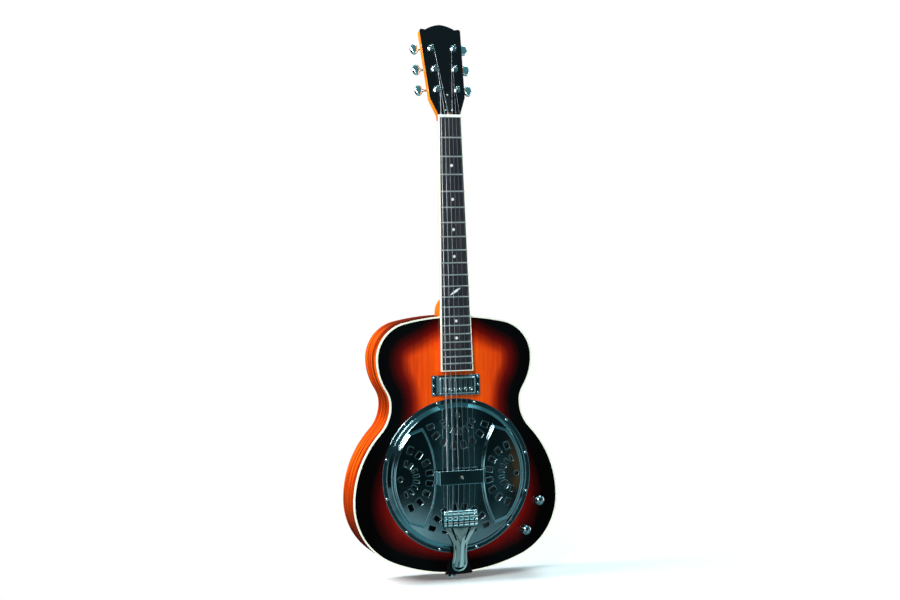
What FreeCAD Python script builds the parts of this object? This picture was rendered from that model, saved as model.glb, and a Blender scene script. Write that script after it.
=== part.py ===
import FreeCAD, Part
import math
import os

# Resonator guitar, in millimetres. +Z runs up the neck, the soundboard faces -Y and +X is the treble side.
# The origin is the seat of the tail strap button: on the centre line, at mid depth, under the tail.

V = FreeCAD.Vector
Placement = FreeCAD.Placement
Rotation = FreeCAD.Rotation

# ---- fits ----
GLUE = 0.05               # gap between curved pieces that are glued or pressed together
RUNNING = 0.05            # radial gap of a turning shaft
FREE = 0.3                # gap beside a piece that moves past another

# ---- body ----
BODY_LENGTH = 467.0
BODY_DEPTH = 82.0
LOWER_HALF = 193.0        # half width of the lower bout
WAIST_HALF = 123.3
UPPER_HALF = 146.8
LOWER_Z = 133.5           # heights of the widest and narrowest places above the tail
WAIST_Z = 309.0
UPPER_Z = 390.0
HIP_LOW_R = 118.5         # outline radii beside each of those places
WAIST_LOW_R = 71.4
FLANK_R = 103.5
SHOULDER_R = 68.2
RIM_T = 2.2
SOUNDBOARD_T = 4.5
BACK_T = 3.5
BINDING_T = 2.6
LINING_T = 6.0
LINING_H = 12.0
NECK_BLOCK_HALF = 34.0
NECK_BLOCK_L = 62.0
TAIL_BLOCK_HALF = 38.0
TAIL_BLOCK_L = 18.0
BRACE_T = 8.0
BRACE_H = 12.0
BRACE_PITCH = 32.0

# ---- resonator ----
PLATE_Z = 177.5           # height of the saddle and of the round parts' centre above the tail
PLATE_R = 140.0
PLATE_T = 0.9
PLATE_FLANGE_W = 8.0
PLATE_BEVEL_W = 7.0
PLATE_BEVEL_H = 6.5
PLATE_CROWN = 4.0
PLATE_SCREW_R = 136.4
PLATE_SCREW_COUNT = 12
WING_H = 4.0              # the side panels stand this far in front of the string channel
WING_SLOPE = 1.6
CHANNEL_HALF = 43.0
CHANNEL_MOUTH_HALF = 67.0
CHANNEL_MOUTH_Z = 89.0
FAN_VERTEX = 110.0
FAN_EYE_R = 4.2
FAN_INNER = 29.5
FAN_OUTER = 54.5
FAN_ANGLES = (10.0, 30.0, 50.0, 70.0)
INNER_SLOT = (4.2, 11.0)  # width and length
OUTER_SLOT = (9.0, 13.0)
SLOT_CORNER_R = 1.2
CONE_R = 133.35
CONE_T = 0.7
CONE_SEAT_W = 6.5
CONE_RECESS = 10.7
CONE_DEPTH = 24.0
CONE_PEAK = 15.0
WELL_WALL = 9.0
WELL_HOLE_R = 15.0
WELL_HOLE_COUNT = 8
SPIDER_LEGS = 8
SPIDER_LEG_W = 6.0
SPIDER_BAR_HALF = 33.0
SPIDER_BAR_W = 9.0
SPIDER_BAR_RISE = 13.0
SADDLE_SLOT_H = 7.0
SADDLE_T = 3.2
SADDLE_GAP = 6.0
SADDLE_H = 25.2           # string seat in front of the soundboard
TENSION_SCREW_R = 1.6
PALM_W = 86.0
PALM_H = 25.0
PALM_T = 1.3
PALM_RISE = 28.5
PALM_HOLE_R = 2.6
PALM_FOOT = 5.0
PALM_BEND_R = 3.0

# ---- neck ----
SCALE_LENGTH = 648.0
FRET_COUNT = 20
NECK_ANGLE = 2.37
FB_RISE = 9.0             # fingerboard face in front of the soundboard at the body joint
FB_T = 6.0
FB_OVERHANG = 99.5        # fingerboard over the soundboard, past the joint
FB_NUT_W = 42.6
FB_END_W = 59.6
FB_BINDING_T = 1.6
FRET_W = 2.4
FRET_H = 1.1
FRET_TANG_W = 0.6
FRET_TANG_H = 1.9
DOT_R = 2.6
DOT_FRETS = (3, 5, 7, 9, 15, 17)
INLAY_T = 1.2
SLASH_LENGTH = 25.0
SLASH_W = 4.4
SLASH_ANGLE = 33.0
NECK_NUT_DEPTH = 14.5     # wood behind the fingerboard at the nut and at the heel
NECK_HEEL_DEPTH = 17.5
HEEL_LENGTH = 62.0
HEEL_DEPTH = 74.0         # from the fingerboard face to the heel cap
HEEL_BUTTON_S = 12.2
# share of the heel's depth, of the board's width and of the heel's length
HEEL_STATIONS = ((0, 1.0, 1.0), (0.18, 0.97, 0.87), (0.45, 0.86, 0.71), (1.0, 0.66, 0.55))
TENON_HALF = 15.0
TENON_L = 20.0
TRUSS_R = 3.0
TRUSS_DEPTH = 10.5        # axis behind the fingerboard's face
TRUSS_COLLAR_R = 3.5
TRUSS_START = 14.0       # above the body joint
NUT_T = 5.0
NUT_H = 2.3
STRING_NUT_SPAN = 35.0
STRING_SADDLE_SPAN = 53.0
STRING_TAIL_SPAN = 51.0
STRING_NUT_RISE = 1.5
BALL_R = 1.9
BALL_DROP = 5.9
STRING_RADII = (0.66, 0.53, 0.41, 0.31, 0.23, 0.2)

# ---- headstock ----
HEAD_ANGLE = 15.0
HEAD_DROP = 4.0
HEAD_T = 14.0
VENEER_T = 1.2
HEAD_FLARE_Z = 34.0
HEAD_FLARE_HALF = 33.0
HEAD_TOP_Z = 170.0
HEAD_TOP_HALF = 39.0
HEAD_HUMP_HALF = 24.0
HEAD_HUMP_H = 8.6
COVER_BASE_Z = 5.5
COVER_TIP_Z = 43.5
COVER_HALF = 8.4
COVER_T = 1.8

# ---- tuners ----
POST_X = (19.5, 19.5, 21.4)
POST_U = (49.5, 90.5, 131.5)
POST_R = 3.0
POST_RISE = 11.0
BUTTON_X = 47.0
BUTTON_W = 14.0
BUTTON_L = 20.0
BUTTON_T = 8.0
GEAR_MODULE = 0.6
GEAR_TEETH = 14
GEAR_W = 3.0
WORM_R = 2.3              # pitch radius
WORM_TURNS = 4
GEAR_ADDENDUM = 0.45
GEAR_DEDENDUM = 0.68
TOOTH_SHARE = 0.39        # tooth thickness over pitch, on wheel and worm alike
SHAFT_R = 1.7
HOUSING_HALF = 8.0
HOUSING_WALL = 1.4
HOUSING_H = 13.0
HOUSING_LOW = 7.0
HOUSING_HIGH = 11.5
COLLAR_R = 4.2
COLLAR_L = 3.0
TAB_T = 1.6
POST_FOOT_R = 2.0
BUSHING_R = 4.5
BUSHING_FLANGE_R = 6.3
BUSHING_FLANGE_T = 1.0
BUSHING_NUT_T = 2.2
BUSHING_NUT_R = 5.0
WINDING_TURNS = 3

# ---- pickup ----
PICKUP_Z = 341.5          # above the tail
PICKUP_W = 68.5
PICKUP_H = 31.0
PICKUP_RISE = 13.0
PICKUP_SINK = 11.0
RING_W = 91.5
RING_H = 37.0
RING_T = 3.0
EAR_H = 14.0
COVER_WALL = 0.8
POLE_PITCH = 9.8
POLE_R = 2.4
POLE_SHANK_R = 1.6
BOBBIN_H = 12.0
POLE_DROP = 6.5

# ---- controls ----
VOLUME_X = 154.8
VOLUME_Z = 124.0          # above the tail
TONE_X = 128.0
TONE_Z = 71.5
KNOB_R = 9.7
KNOB_H = 15.0
KNOB_FLUTES = 24
KNOB_LIFT = 1.6
POT_R = 8.2
POT_H = 9.0
POT_SHAFT_R = 3.0
POT_BUSH_R = 3.9
JACK_ANGLE = -35.0        # place on the rim's lower treble arc
JACK_BORE_R = 3.25
JACK_BORE_L = 28.0
JACK_BODY_R = 6.0
JACK_NUT_T = 2.2
JACK_PLATE_W = 24.0
JACK_PLATE_L = 38.0
JACK_PLATE_T = 1.2

# ---- tailpiece ----
TAIL_HEAD_Z = 113.5       # above the tail
TAIL_HEAD_HALF = 31.0
TAIL_HEAD_RISE = 17.5
TAIL_STEM_HALF = 12.3
TAIL_TIP_HALF = 15.2
TAIL_T = 2.0
TAIL_BAR_R = 3.6
TAIL_SLIT_LEAN = 24.0      # degrees from the centre line
BRACKET_T = 1.5
BRACKET_TOP_HALF = 18.0
BRACKET_EDGE_HALF = 25.5
BRACKET_RUN = 27.0
BUTTON_SEAT_R = 7.0
STRAP_H = 12.0

# ---- screws ----
SCREW_HEAD = 2.3
SCREW_SHANK = 1.2
SCREW_HEAD_T = 1.3
PLATE_SCREW_L = 12.0
STRAP_SCREW_L = 16.0
STRAP_SCREW_R = 1.9
TUNER_SCREW_L = 8.0
TUNER_SCREW_R = 0.96
TUNER_SCREW_DROP = 10.0
COVER_SCREW_SHANK = 0.8
COVER_SCREW_L = 6.0

# ---- derived places ----
TAIL_Z = BRACKET_T + GLUE
TOP_Z = TAIL_Z + BODY_LENGTH
FRONT_Y = -BODY_DEPTH / 2
BACK_Y = BODY_DEPTH / 2
INNER_FRONT_Y = FRONT_Y + SOUNDBOARD_T
INNER_BACK_Y = BACK_Y - BACK_T
CENTRE_Z = TAIL_Z + PLATE_Z
RECESS_R = CONE_R + 0.6
LEDGE_Y = FRONT_Y + CONE_RECESS
WELL_R = RECESS_R + WELL_WALL
SADDLE_Y = FRONT_Y - SADDLE_H
BAR_TOP_Y = FRONT_Y - SPIDER_BAR_RISE
NECK_FRAME = Placement(V(0, FRONT_Y - FB_RISE, TOP_Z), Rotation(V(1, 0, 0), -NECK_ANGLE))
SADDLE_S = NECK_FRAME.inverse().multVec(V(0, SADDLE_Y, CENTRE_Z)).z
NUT_S = SADDLE_S + SCALE_LENGTH
HEAD_TILT = Placement(V(0, HEAD_DROP, NUT_S + NUT_T), Rotation(V(1, 0, 0), -HEAD_ANGLE))
HEAD_FRAME = NECK_FRAME.multiply(HEAD_TILT)
WORM_OFFSET = WORM_R + GEAR_MODULE * GEAR_TEETH / 2
WORM_DEPTH = HEAD_T + HOUSING_H / 2
WORM_PITCH = math.pi * GEAR_MODULE
WHEEL_LEAN = math.atan(GEAR_MODULE / (2 * WORM_R))
WINDING_DEPTH = -BUSHING_FLANGE_T - BUSHING_NUT_T - 1.6


def arc(centre, radius, start, end):
    """Arc in the XZ plane about (x, z), from one angle to another in radians."""
    points = []
    for angle in (start, (start + end) / 2, end):
        points.append(V(centre[0] + radius * math.cos(angle), 0, centre[1] + radius * math.sin(angle)))
    return Part.Arc(*points).toShape()


def heading(start, end):
    return math.atan2(end[1] - start[1], end[0] - start[0])


def body_outline(grow):
    """Body outline in the XZ plane, moved outwards by grow. Each bout and the waist are tangent arcs."""
    hip_low = (LOWER_HALF - HIP_LOW_R, TAIL_Z + LOWER_Z)
    tail_r = (hip_low[0] ** 2 + LOWER_Z ** 2 - HIP_LOW_R ** 2) / (2 * (LOWER_Z - HIP_LOW_R))
    tail = (0, TAIL_Z + tail_r)
    step = LOWER_HALF - WAIST_HALF
    hip_high_r = (step ** 2 + (WAIST_Z - LOWER_Z) ** 2) / (2 * step) - WAIST_LOW_R
    hip_high = (LOWER_HALF - hip_high_r, hip_low[1])
    waist_low = (WAIST_HALF + WAIST_LOW_R, TAIL_Z + WAIST_Z)
    step = UPPER_HALF - WAIST_HALF
    waist_high_r = (step ** 2 + (UPPER_Z - WAIST_Z) ** 2) / (2 * step) - FLANK_R
    waist_high = (WAIST_HALF + waist_high_r, waist_low[1])
    flank = (UPPER_HALF - FLANK_R, TAIL_Z + UPPER_Z)
    shoulder = (UPPER_HALF - SHOULDER_R, flank[1])
    rise = BODY_LENGTH - UPPER_Z
    top_r = (shoulder[0] ** 2 + rise ** 2 - SHOULDER_R ** 2) / (2 * (rise - SHOULDER_R))
    top = (0, TOP_Z - top_r)
    quarter = math.pi / 2
    hip_turn = heading(hip_high, waist_low)
    waist_turn = heading(flank, waist_high)
    edges = [arc(tail, tail_r + grow, -quarter, heading(tail, hip_low)),
             arc(hip_low, HIP_LOW_R + grow, heading(tail, hip_low), 0),
             arc(hip_high, hip_high_r + grow, 0, hip_turn),
             arc(waist_low, WAIST_LOW_R - grow, hip_turn + math.pi, math.pi),
             arc(waist_high, waist_high_r - grow, math.pi, waist_turn + math.pi),
             arc(flank, FLANK_R + grow, waist_turn, 0),
             arc(shoulder, SHOULDER_R + grow, 0, heading(top, shoulder)),
             arc(top, top_r + grow, heading(top, shoulder), quarter)]
    mirrored = []
    for edge in reversed(edges):
        mirrored.append(edge.mirror(V(0, 0, 0), V(1, 0, 0)))
    return Part.Wire(edges + mirrored)


def body_prism(grow, low, high):
    face = Part.Face(body_outline(grow))
    face.translate(V(0, low, 0))
    return face.extrude(V(0, high - low, 0))


def box(low_x, low_y, low_z, high_x, high_y, high_z):
    return Part.makeBox(high_x - low_x, high_y - low_y, high_z - low_z, V(low_x, low_y, low_z))


def rod(radius, start, end):
    return Part.makeCylinder(radius, (end - start).Length, start, end - start)


def disc(radius, x, z, low, high):
    """Round piece whose axis runs along Y."""
    return Part.makeCylinder(radius, high - low, V(x, low, z), V(0, 1, 0))


def polygon(points):
    return Part.Face(Part.makePolygon(points + [points[0]]))


def turned(profile, axis_x=0.0, axis_z=0.0):
    """Solid of revolution about an axis along Y. The profile is a list of (radius, y)."""
    points = [V(axis_x + radius, y, axis_z) for radius, y in profile]
    return polygon(points).revolve(V(axis_x, 0, axis_z), V(0, 1, 0), 360)


def save(name, shape):
    shape.exportStep("parts/" + name + ".step")


# ---- body ----

def rounded_block(half_x, low_z, high_z):
    """Block glued inside the rim: it follows the rim's curve."""
    block = box(-half_x, INNER_FRONT_Y, low_z, half_x, INNER_BACK_Y, high_z)
    return block.common(body_prism(-RIM_T - GLUE, INNER_FRONT_Y, INNER_BACK_Y))


def tenon(gap):
    """Glued tenon of the neck, or its mortise with a gap."""
    half = TENON_HALF + gap
    return box(-half, INNER_FRONT_Y, TOP_Z - RIM_T - TENON_L - gap, half, heel_back() - 8 + gap, TOP_Z + 4)


def heel_back():
    return FRONT_Y - FB_RISE + HEEL_DEPTH


def pot_places():
    return ((VOLUME_X, TAIL_Z + VOLUME_Z), (TONE_X, TAIL_Z + TONE_Z))


def make_soundboard():
    board = body_prism(-BINDING_T - GLUE, FRONT_Y, INNER_FRONT_Y)
    board = board.cut(disc(RECESS_R, 0, CENTRE_Z, FRONT_Y - 1, INNER_FRONT_Y + 1))
    z = TAIL_Z + PICKUP_Z
    gap = 0.6
    half_w = PICKUP_W / 2 + gap
    half_h = PICKUP_H / 2 + gap
    board = board.cut(box(-half_w, FRONT_Y - 1, z - half_h, half_w, INNER_FRONT_Y + 1, z + half_h))
    ear = RING_W / 2 - 2
    board = board.cut(box(-ear, FRONT_Y - 1, z - EAR_H / 2, ear, INNER_FRONT_Y + 1, z + EAR_H / 2))
    for x, height in pot_places():
        board = board.cut(disc(POT_BUSH_R + GLUE, x, height, FRONT_Y - 1, INNER_FRONT_Y + 1))
    for point in plate_screw_places():
        board = board.cut(disc(SCREW_SHANK + GLUE, point.x, point.z, FRONT_Y - 1, INNER_FRONT_Y + 1))
    for x, height in ring_screw_places():
        if abs(height - z) > 1:
            board = board.cut(disc(SCREW_SHANK + GLUE, x, height, FRONT_Y - 1, INNER_FRONT_Y + 1))
    return board


def make_back_plate():
    return body_prism(0, INNER_BACK_Y, BACK_Y)


def make_rim():
    inside = body_prism(-RIM_T, INNER_FRONT_Y - 1, INNER_BACK_Y + 1)
    rim = body_prism(0, INNER_FRONT_Y, INNER_BACK_Y).cut(inside)
    rim = rim.cut(tenon(GLUE))
    rim = rim.cut(rod(JACK_BODY_R + GLUE, jack_point(-RIM_T - 3), jack_point(3)))
    for shift in jack_screw_points():
        rim = rim.cut(rod(SCREW_SHANK + GLUE, jack_point(-RIM_T - 3) + shift, jack_point(3) + shift))
    rim = rim.cut(rod(STRAP_SCREW_R + GLUE, V(0, 0, TAIL_Z - 1), V(0, 0, TAIL_Z + RIM_T + 1)))
    return rim


def make_side(sign):
    """One bent side in two lengths, butted at the waist. The sides meet on the centre line at both ends."""
    near = sign * GLUE / 2
    far = sign * (LOWER_HALF + 1)
    left, right = sorted((near, far))
    rim = make_rim()
    joint_z = TAIL_Z + WAIST_Z
    lengths = []
    for low, high in ((0, joint_z - GLUE / 2), (joint_z + GLUE / 2, TOP_Z + 1)):
        lengths.append(rim.common(box(left, -BODY_DEPTH, low, right, BODY_DEPTH, high)))
    return Part.makeCompound(lengths)


def make_top_binding():
    return body_prism(0, FRONT_Y, INNER_FRONT_Y).cut(body_prism(-BINDING_T, FRONT_Y - 1, INNER_FRONT_Y + 1))


def make_linings():
    """Front and back lining strips, cut out where the two blocks stand."""
    strips = []
    for low, high in ((INNER_FRONT_Y, INNER_FRONT_Y + LINING_H), (INNER_BACK_Y - LINING_H, INNER_BACK_Y)):
        strip = body_prism(-RIM_T - GLUE, low, high).cut(body_prism(-RIM_T - LINING_T, low - 1, high + 1))
        strip = strip.cut(box(-NECK_BLOCK_HALF, low - 1, TOP_Z / 2, NECK_BLOCK_HALF, high + 1, TOP_Z + 1))
        strip = strip.cut(box(-TAIL_BLOCK_HALF, low - 1, -1, TAIL_BLOCK_HALF, high + 1, TOP_Z / 2))
        strips.append(strip)
    return Part.makeCompound(strips)


def make_soundwell():
    """Laminated ring from soundboard to back, with a ledge for the cone and sound holes in its wall."""
    well = disc(WELL_R, 0, CENTRE_Z, INNER_FRONT_Y, INNER_BACK_Y)
    well = well.cut(disc(RECESS_R, 0, CENTRE_Z, INNER_FRONT_Y - 1, LEDGE_Y))
    well = well.cut(disc(CONE_R - CONE_SEAT_W, 0, CENTRE_Z, LEDGE_Y - 1, INNER_BACK_Y + 1))
    for index in range(WELL_HOLE_COUNT):
        angle = math.radians(360.0 * (index + 0.5) / WELL_HOLE_COUNT)
        out = V(math.cos(angle), 0, math.sin(angle))
        middle = V(0, (LEDGE_Y + INNER_BACK_Y) / 2, CENTRE_Z)
        well = well.cut(rod(WELL_HOLE_R, middle + out * (CONE_R - 20), middle + out * (WELL_R + 2)))
    deep = FRONT_Y + PLATE_SCREW_L + FREE
    for point in plate_screw_places():
        well = well.cut(disc(SCREW_SHANK + GLUE, point.x, point.z, INNER_FRONT_Y - 1, deep))
    return well


def make_neck_block():
    block = rounded_block(NECK_BLOCK_HALF, TOP_Z - RIM_T - NECK_BLOCK_L, TOP_Z)
    return block.cut(tenon(GLUE))


def make_tail_block():
    block = rounded_block(TAIL_BLOCK_HALF, TAIL_Z, TAIL_Z + RIM_T + TAIL_BLOCK_L)
    return block.cut(rod(STRAP_SCREW_R + GLUE, V(0, 0, TAIL_Z), V(0, 0, TAIL_Z + STRAP_SCREW_L)))


def make_back_braces():
    """Cross braces glued to the back between the soundwell and the neck block."""
    braces = []
    inner = body_prism(-RIM_T - LINING_T - GLUE, INNER_BACK_Y - BRACE_H, INNER_BACK_Y)
    first = CENTRE_Z + WELL_R + BRACE_T
    for index in range(2):
        z = first + index * BRACE_PITCH
        bar = box(-UPPER_HALF, INNER_BACK_Y - BRACE_H, z, UPPER_HALF, INNER_BACK_Y, z + BRACE_T)
        braces.append(bar.common(inner))
    return Part.makeCompound(braces)


# ---- screws ----


def screw(shank_l, head_r=SCREW_HEAD, shank_r=SCREW_SHANK, head_t=SCREW_HEAD_T):
    """Cross-head wood screw: the underside of its domed head at the origin, its shank along +Y."""
    profile = [V(0, shank_l, 0), V(shank_r * 0.4, shank_l, 0), V(shank_r, shank_l - 1.5, 0)]
    profile += [V(shank_r, 0, 0), V(head_r, 0, 0), V(head_r, -head_t * 0.45, 0)]
    edges = [Part.makePolygon(profile)]
    crown = Part.Arc(profile[-1], V(head_r * 0.6, -head_t * 0.88, 0), V(0, -head_t, 0)).toShape()
    line = Part.makeLine(V(0, -head_t, 0), profile[0])
    face = Part.Face(Part.Wire(edges[0].Edges + [crown, line]))
    body = face.revolve(V(0, 0, 0), V(0, 1, 0), 360)
    arm = head_r * 0.62
    slot = 0.28
    depth = head_t * 0.5
    cross = box(-arm, -head_t - 1, -slot, arm, -head_t + depth, slot)
    cross = cross.fuse(box(-slot, -head_t - 1, -arm, slot, -head_t + depth, arm))
    return body.cut(cross)


def placed(shape, place):
    copy = shape.copy()
    copy.Placement = place.multiply(shape.Placement)
    return copy


def plate_screw_places():
    places = []
    for index in range(PLATE_SCREW_COUNT):
        angle = 2 * math.pi * (index + 0.5) / PLATE_SCREW_COUNT
        out = V(math.cos(angle), 0, math.sin(angle))
        places.append(V(0, FRONT_Y, CENTRE_Z) + out * PLATE_SCREW_R)
    return places


def make_coverplate_screws():
    screws = []
    for point in plate_screw_places():
        screws.append(placed(screw(PLATE_SCREW_L), Placement(point - V(0, PLATE_T, 0), Rotation())))
    return Part.makeCompound(screws)


# ---- resonator ----

def dome_solid(front_y, crown, radius, back_y):
    """Turned solid with a crowned front of the given edge level, about the resonator's axis."""
    edge = V(radius, front_y, 0)
    sphere_r = (radius ** 2 + crown ** 2) / (2 * crown)
    half = radius / 2
    sag = sphere_r - math.sqrt(sphere_r ** 2 - half ** 2)
    top = V(0, front_y - crown, 0)
    cap = Part.Arc(edge, V(half, top.y + sag, 0), top).toShape()
    back = V(0, back_y, 0)
    rim_back = V(radius, back_y, 0)
    sides = Part.makePolygon([top, back, rim_back, edge])
    solid = Part.Face(Part.Wire([cap] + sides.Edges)).revolve(V(0, 0, 0), V(0, 1, 0), 360)
    solid.translate(V(0, 0, CENTRE_Z))
    return solid


def wing_outline(side, inset, y):
    """Edge of one side panel: the string channel's curve inside and a round arc outside."""
    inner = CHANNEL_HALF + 1 + inset
    mouth_x = CHANNEL_MOUTH_HALF + inset
    mouth_z = CHANNEL_MOUTH_Z - inset
    waist_z = PALM_H / 2 + 1
    outer_r = PLATE_R - PLATE_FLANGE_W - PLATE_BEVEL_W - 3 - inset
    corner = math.radians(41)
    end = (outer_r * math.cos(corner), outer_r * math.sin(corner))
    belly = (inner + (mouth_x - inner) * 0.3, (waist_z + mouth_z) * 0.52)

    def point(x, z):
        return V(side * x, y, CENTRE_Z + z)

    low_waist, high_waist = point(inner, -waist_z), point(inner, waist_z)
    low_mouth, high_mouth = point(mouth_x, -mouth_z), point(mouth_x, mouth_z)
    low_end, high_end = point(end[0], -end[1]), point(*end)
    edges = [Part.makeLine(low_waist, high_waist),
             Part.Arc(high_waist, point(*belly), high_mouth).toShape(),
             Part.makeLine(high_mouth, high_end),
             Part.Arc(high_end, point(outer_r, 0), low_end).toShape(),
             Part.makeLine(low_end, low_mouth),
             Part.Arc(low_mouth, point(belly[0], -belly[1]), low_waist).toShape()]
    return Part.Wire(edges)


def plate_body(sink):
    """The coverplate's outer form, set back by sink: flange, bevel, crowned disc and two raised panels."""
    bevel_out = PLATE_R - PLATE_FLANGE_W - sink * 0.4
    disc_r = PLATE_R - PLATE_FLANGE_W - PLATE_BEVEL_W - sink * 0.4
    level = FRONT_Y - PLATE_T + sink
    front = level - PLATE_BEVEL_H
    back = FRONT_Y + 3
    base = turned([(0, level), (bevel_out, level), (disc_r, front), (0, front)], 0, CENTRE_Z)
    base = base.fuse(dome_solid(front, PLATE_CROWN, disc_r, level))
    raised = dome_solid(front - WING_H, PLATE_CROWN, disc_r, back)
    for side in (-1, 1):
        foot = wing_outline(side, sink - WING_SLOPE, front + 2)
        head = wing_outline(side, sink + WING_SLOPE, front - 12)
        wing = Part.makeLoft([foot, head], True, True)
        base = base.fuse(wing.common(raised))
    return base


def fan_cutters():
    """Two rows of slots and one eye for each of the four fans, as tools through the plate."""
    deep = 30.0
    row = [Part.makeCylinder(FAN_EYE_R, deep, V(FAN_VERTEX, -deep / 2, 0), V(0, 1, 0))]
    for angle in [-a for a in FAN_ANGLES] + list(FAN_ANGLES):
        for radius, width, length in ((FAN_INNER, *INNER_SLOT), (FAN_OUTER, *OUTER_SLOT)):
            slot = box(-length / 2, -deep / 2, -width / 2, length / 2, deep / 2, width / 2)
            slot = slot.makeFillet(SLOT_CORNER_R, [e for e in slot.Edges if e.BoundBox.YLength > 1])
            slot.translate(V(-radius, 0, 0))
            slot.rotate(V(0, 0, 0), V(0, 1, 0), angle)
            slot.translate(V(FAN_VERTEX, 0, 0))
            row.append(slot)
    tools = []
    for quarter in range(4):
        fan = Part.makeCompound(row)
        fan.rotate(V(0, 0, 0), V(0, 1, 0), -90.0 * quarter)
        fan.translate(V(0, FRONT_Y - PLATE_BEVEL_H, CENTRE_Z))
        tools.append(fan)
    return Part.makeCompound(tools)


def bridge_window():
    """Opening in the plate over the spider's bar."""
    half_w = SPIDER_BAR_HALF + 3
    half_h = SPIDER_BAR_W / 2 + 3
    return box(-half_w, FRONT_Y - 40, CENTRE_Z - half_h, half_w, FRONT_Y, CENTRE_Z + half_h)


def make_coverplate():
    flange = disc(PLATE_R, 0, CENTRE_Z, FRONT_Y - PLATE_T, FRONT_Y)
    underside = disc(PLATE_R - PLATE_FLANGE_W - 1, 0, CENTRE_Z, FRONT_Y - PLATE_T, FRONT_Y + 4)
    hollow = plate_body(PLATE_T).fuse(underside)
    plate = flange.fuse(plate_body(0)).cut(hollow)
    plate = plate.cut(fan_cutters()).cut(bridge_window())
    for point in plate_screw_places():
        plate = plate.cut(disc(SCREW_SHANK + GLUE, point.x, point.z, FRONT_Y - 5, FRONT_Y + 1))
    return plate


def strap_block(inset, foot):
    """Block with two rounded front edges: the palm rest's outer form, or its hollow when inset."""
    half = PALM_W / 2 - inset
    top = FRONT_Y - PALM_RISE + inset
    deep = PALM_H / 2 + inset
    block = box(-half, top, CENTRE_Z - deep, half, foot + inset, CENTRE_Z + deep)
    bends = []
    for edge in block.Edges:
        if edge.BoundBox.YMax < top + 0.01 and edge.BoundBox.XLength < 0.01:
            bends.append(edge)
    return block.makeFillet(PALM_BEND_R - inset, bends)


def make_palm_rest():
    """Strap over the saddle, bent down at both ends to feet on the side panels."""
    half = PALM_W / 2
    foot = FRONT_Y - 5
    front = FRONT_Y - PLATE_T - PLATE_BEVEL_H - WING_H
    disc_r = PLATE_R - PLATE_FLANGE_W - PLATE_BEVEL_W
    reach = half + PALM_FOOT
    low = CENTRE_Z - PALM_H / 2
    feet = box(-reach, front - 12, low, reach, foot, low + PALM_H)
    feet = feet.common(dome_solid(front - PALM_T, PLATE_CROWN, disc_r, FRONT_Y))
    strap = strap_block(0, foot).fuse(feet).cut(strap_block(PALM_T, foot))
    strap = strap.cut(dome_solid(front, PLATE_CROWN, disc_r, FRONT_Y))
    hole = disc(PALM_HOLE_R, 0, CENTRE_Z, FRONT_Y - PALM_RISE - 1, FRONT_Y - PALM_RISE + 5)
    return strap.cut(hole)


def make_resonator_cone():
    """Spun cone: a rim that sits on the ledge, a dished wall and a peak in the middle for the screw."""
    rim = LEDGE_Y - CONE_T
    low = rim + CONE_DEPTH
    peak = low - CONE_PEAK
    line = [(CONE_R, rim), (CONE_R - CONE_SEAT_W - 2, rim), (CONE_R - 16, rim + 3)]
    line += [(46, low - 1), (36, low), (7, peak), (TENSION_SCREW_R + GLUE, peak)]
    profile = line + [(radius, y + CONE_T) for radius, y in reversed(line)]
    return turned(profile, 0, CENTRE_Z)


def make_spider_bridge():
    """Cast spider: legs stand on the cone's rim and meet in a slotted bar under the saddle."""
    foot = LEDGE_Y - CONE_T
    hub_top = FRONT_Y - 6.5
    hub_low = FRONT_Y + 1.5
    ring_r = CONE_R - CONE_SEAT_W / 2
    section = [(0, hub_top), (14, hub_top), (70, hub_top + 4), (ring_r - 1, foot - 7), (ring_r + 2, foot)]
    section += [(ring_r - 3, foot), (ring_r - 6, foot - 4), (68, hub_low + 1.5), (0, hub_low)]
    half = SPIDER_LEG_W / 2
    spider = disc(11, 0, CENTRE_Z, hub_top, hub_low)
    for index in range(SPIDER_LEGS):
        points = [V(radius, y, -half) for radius, y in section]
        leg = polygon(points).extrude(V(0, 0, SPIDER_LEG_W))
        leg.rotate(V(0, 0, 0), V(0, 1, 0), 360.0 * (index + 0.5) / SPIDER_LEGS)
        leg.translate(V(0, 0, CENTRE_Z))
        spider = spider.fuse(leg)
    half_w = SPIDER_BAR_HALF
    half_h = SPIDER_BAR_W / 2
    spider = spider.fuse(box(-half_w, BAR_TOP_Y, CENTRE_Z - half_h, half_w, hub_low, CENTRE_Z + half_h))
    half_slot = SADDLE_T / 2 + GLUE
    floor = BAR_TOP_Y + SADDLE_SLOT_H
    slot = box(-half_w - 1, BAR_TOP_Y - 1, CENTRE_Z - half_slot, half_w + 1, floor, CENTRE_Z + half_slot)
    spider = spider.cut(slot)
    return spider.cut(disc(TENSION_SCREW_R + GLUE, 0, CENTRE_Z, BAR_TOP_Y - 1, hub_low + 1))


def string_x(index, span):
    return -span / 2 + span * index / 5


def make_saddle():
    """Two hardwood inserts in the spider's slot, with a space between them for the tension screw."""
    bottom = BAR_TOP_Y + SADDLE_SLOT_H
    top = SADDLE_Y - 0.4
    halves = []
    for side in (-1, 1):
        low = SADDLE_GAP / 2 if side > 0 else -SPIDER_BAR_HALF + 2
        high = SPIDER_BAR_HALF - 2 if side > 0 else -SADDLE_GAP / 2
        halves.append(box(low, top, CENTRE_Z - SADDLE_T / 2, high, bottom, CENTRE_Z + SADDLE_T / 2))
    result = []
    for half in halves:
        for string in string_solids():
            half = half.cut(string)
        result.append(half)
    return Part.makeCompound(result)


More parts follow.
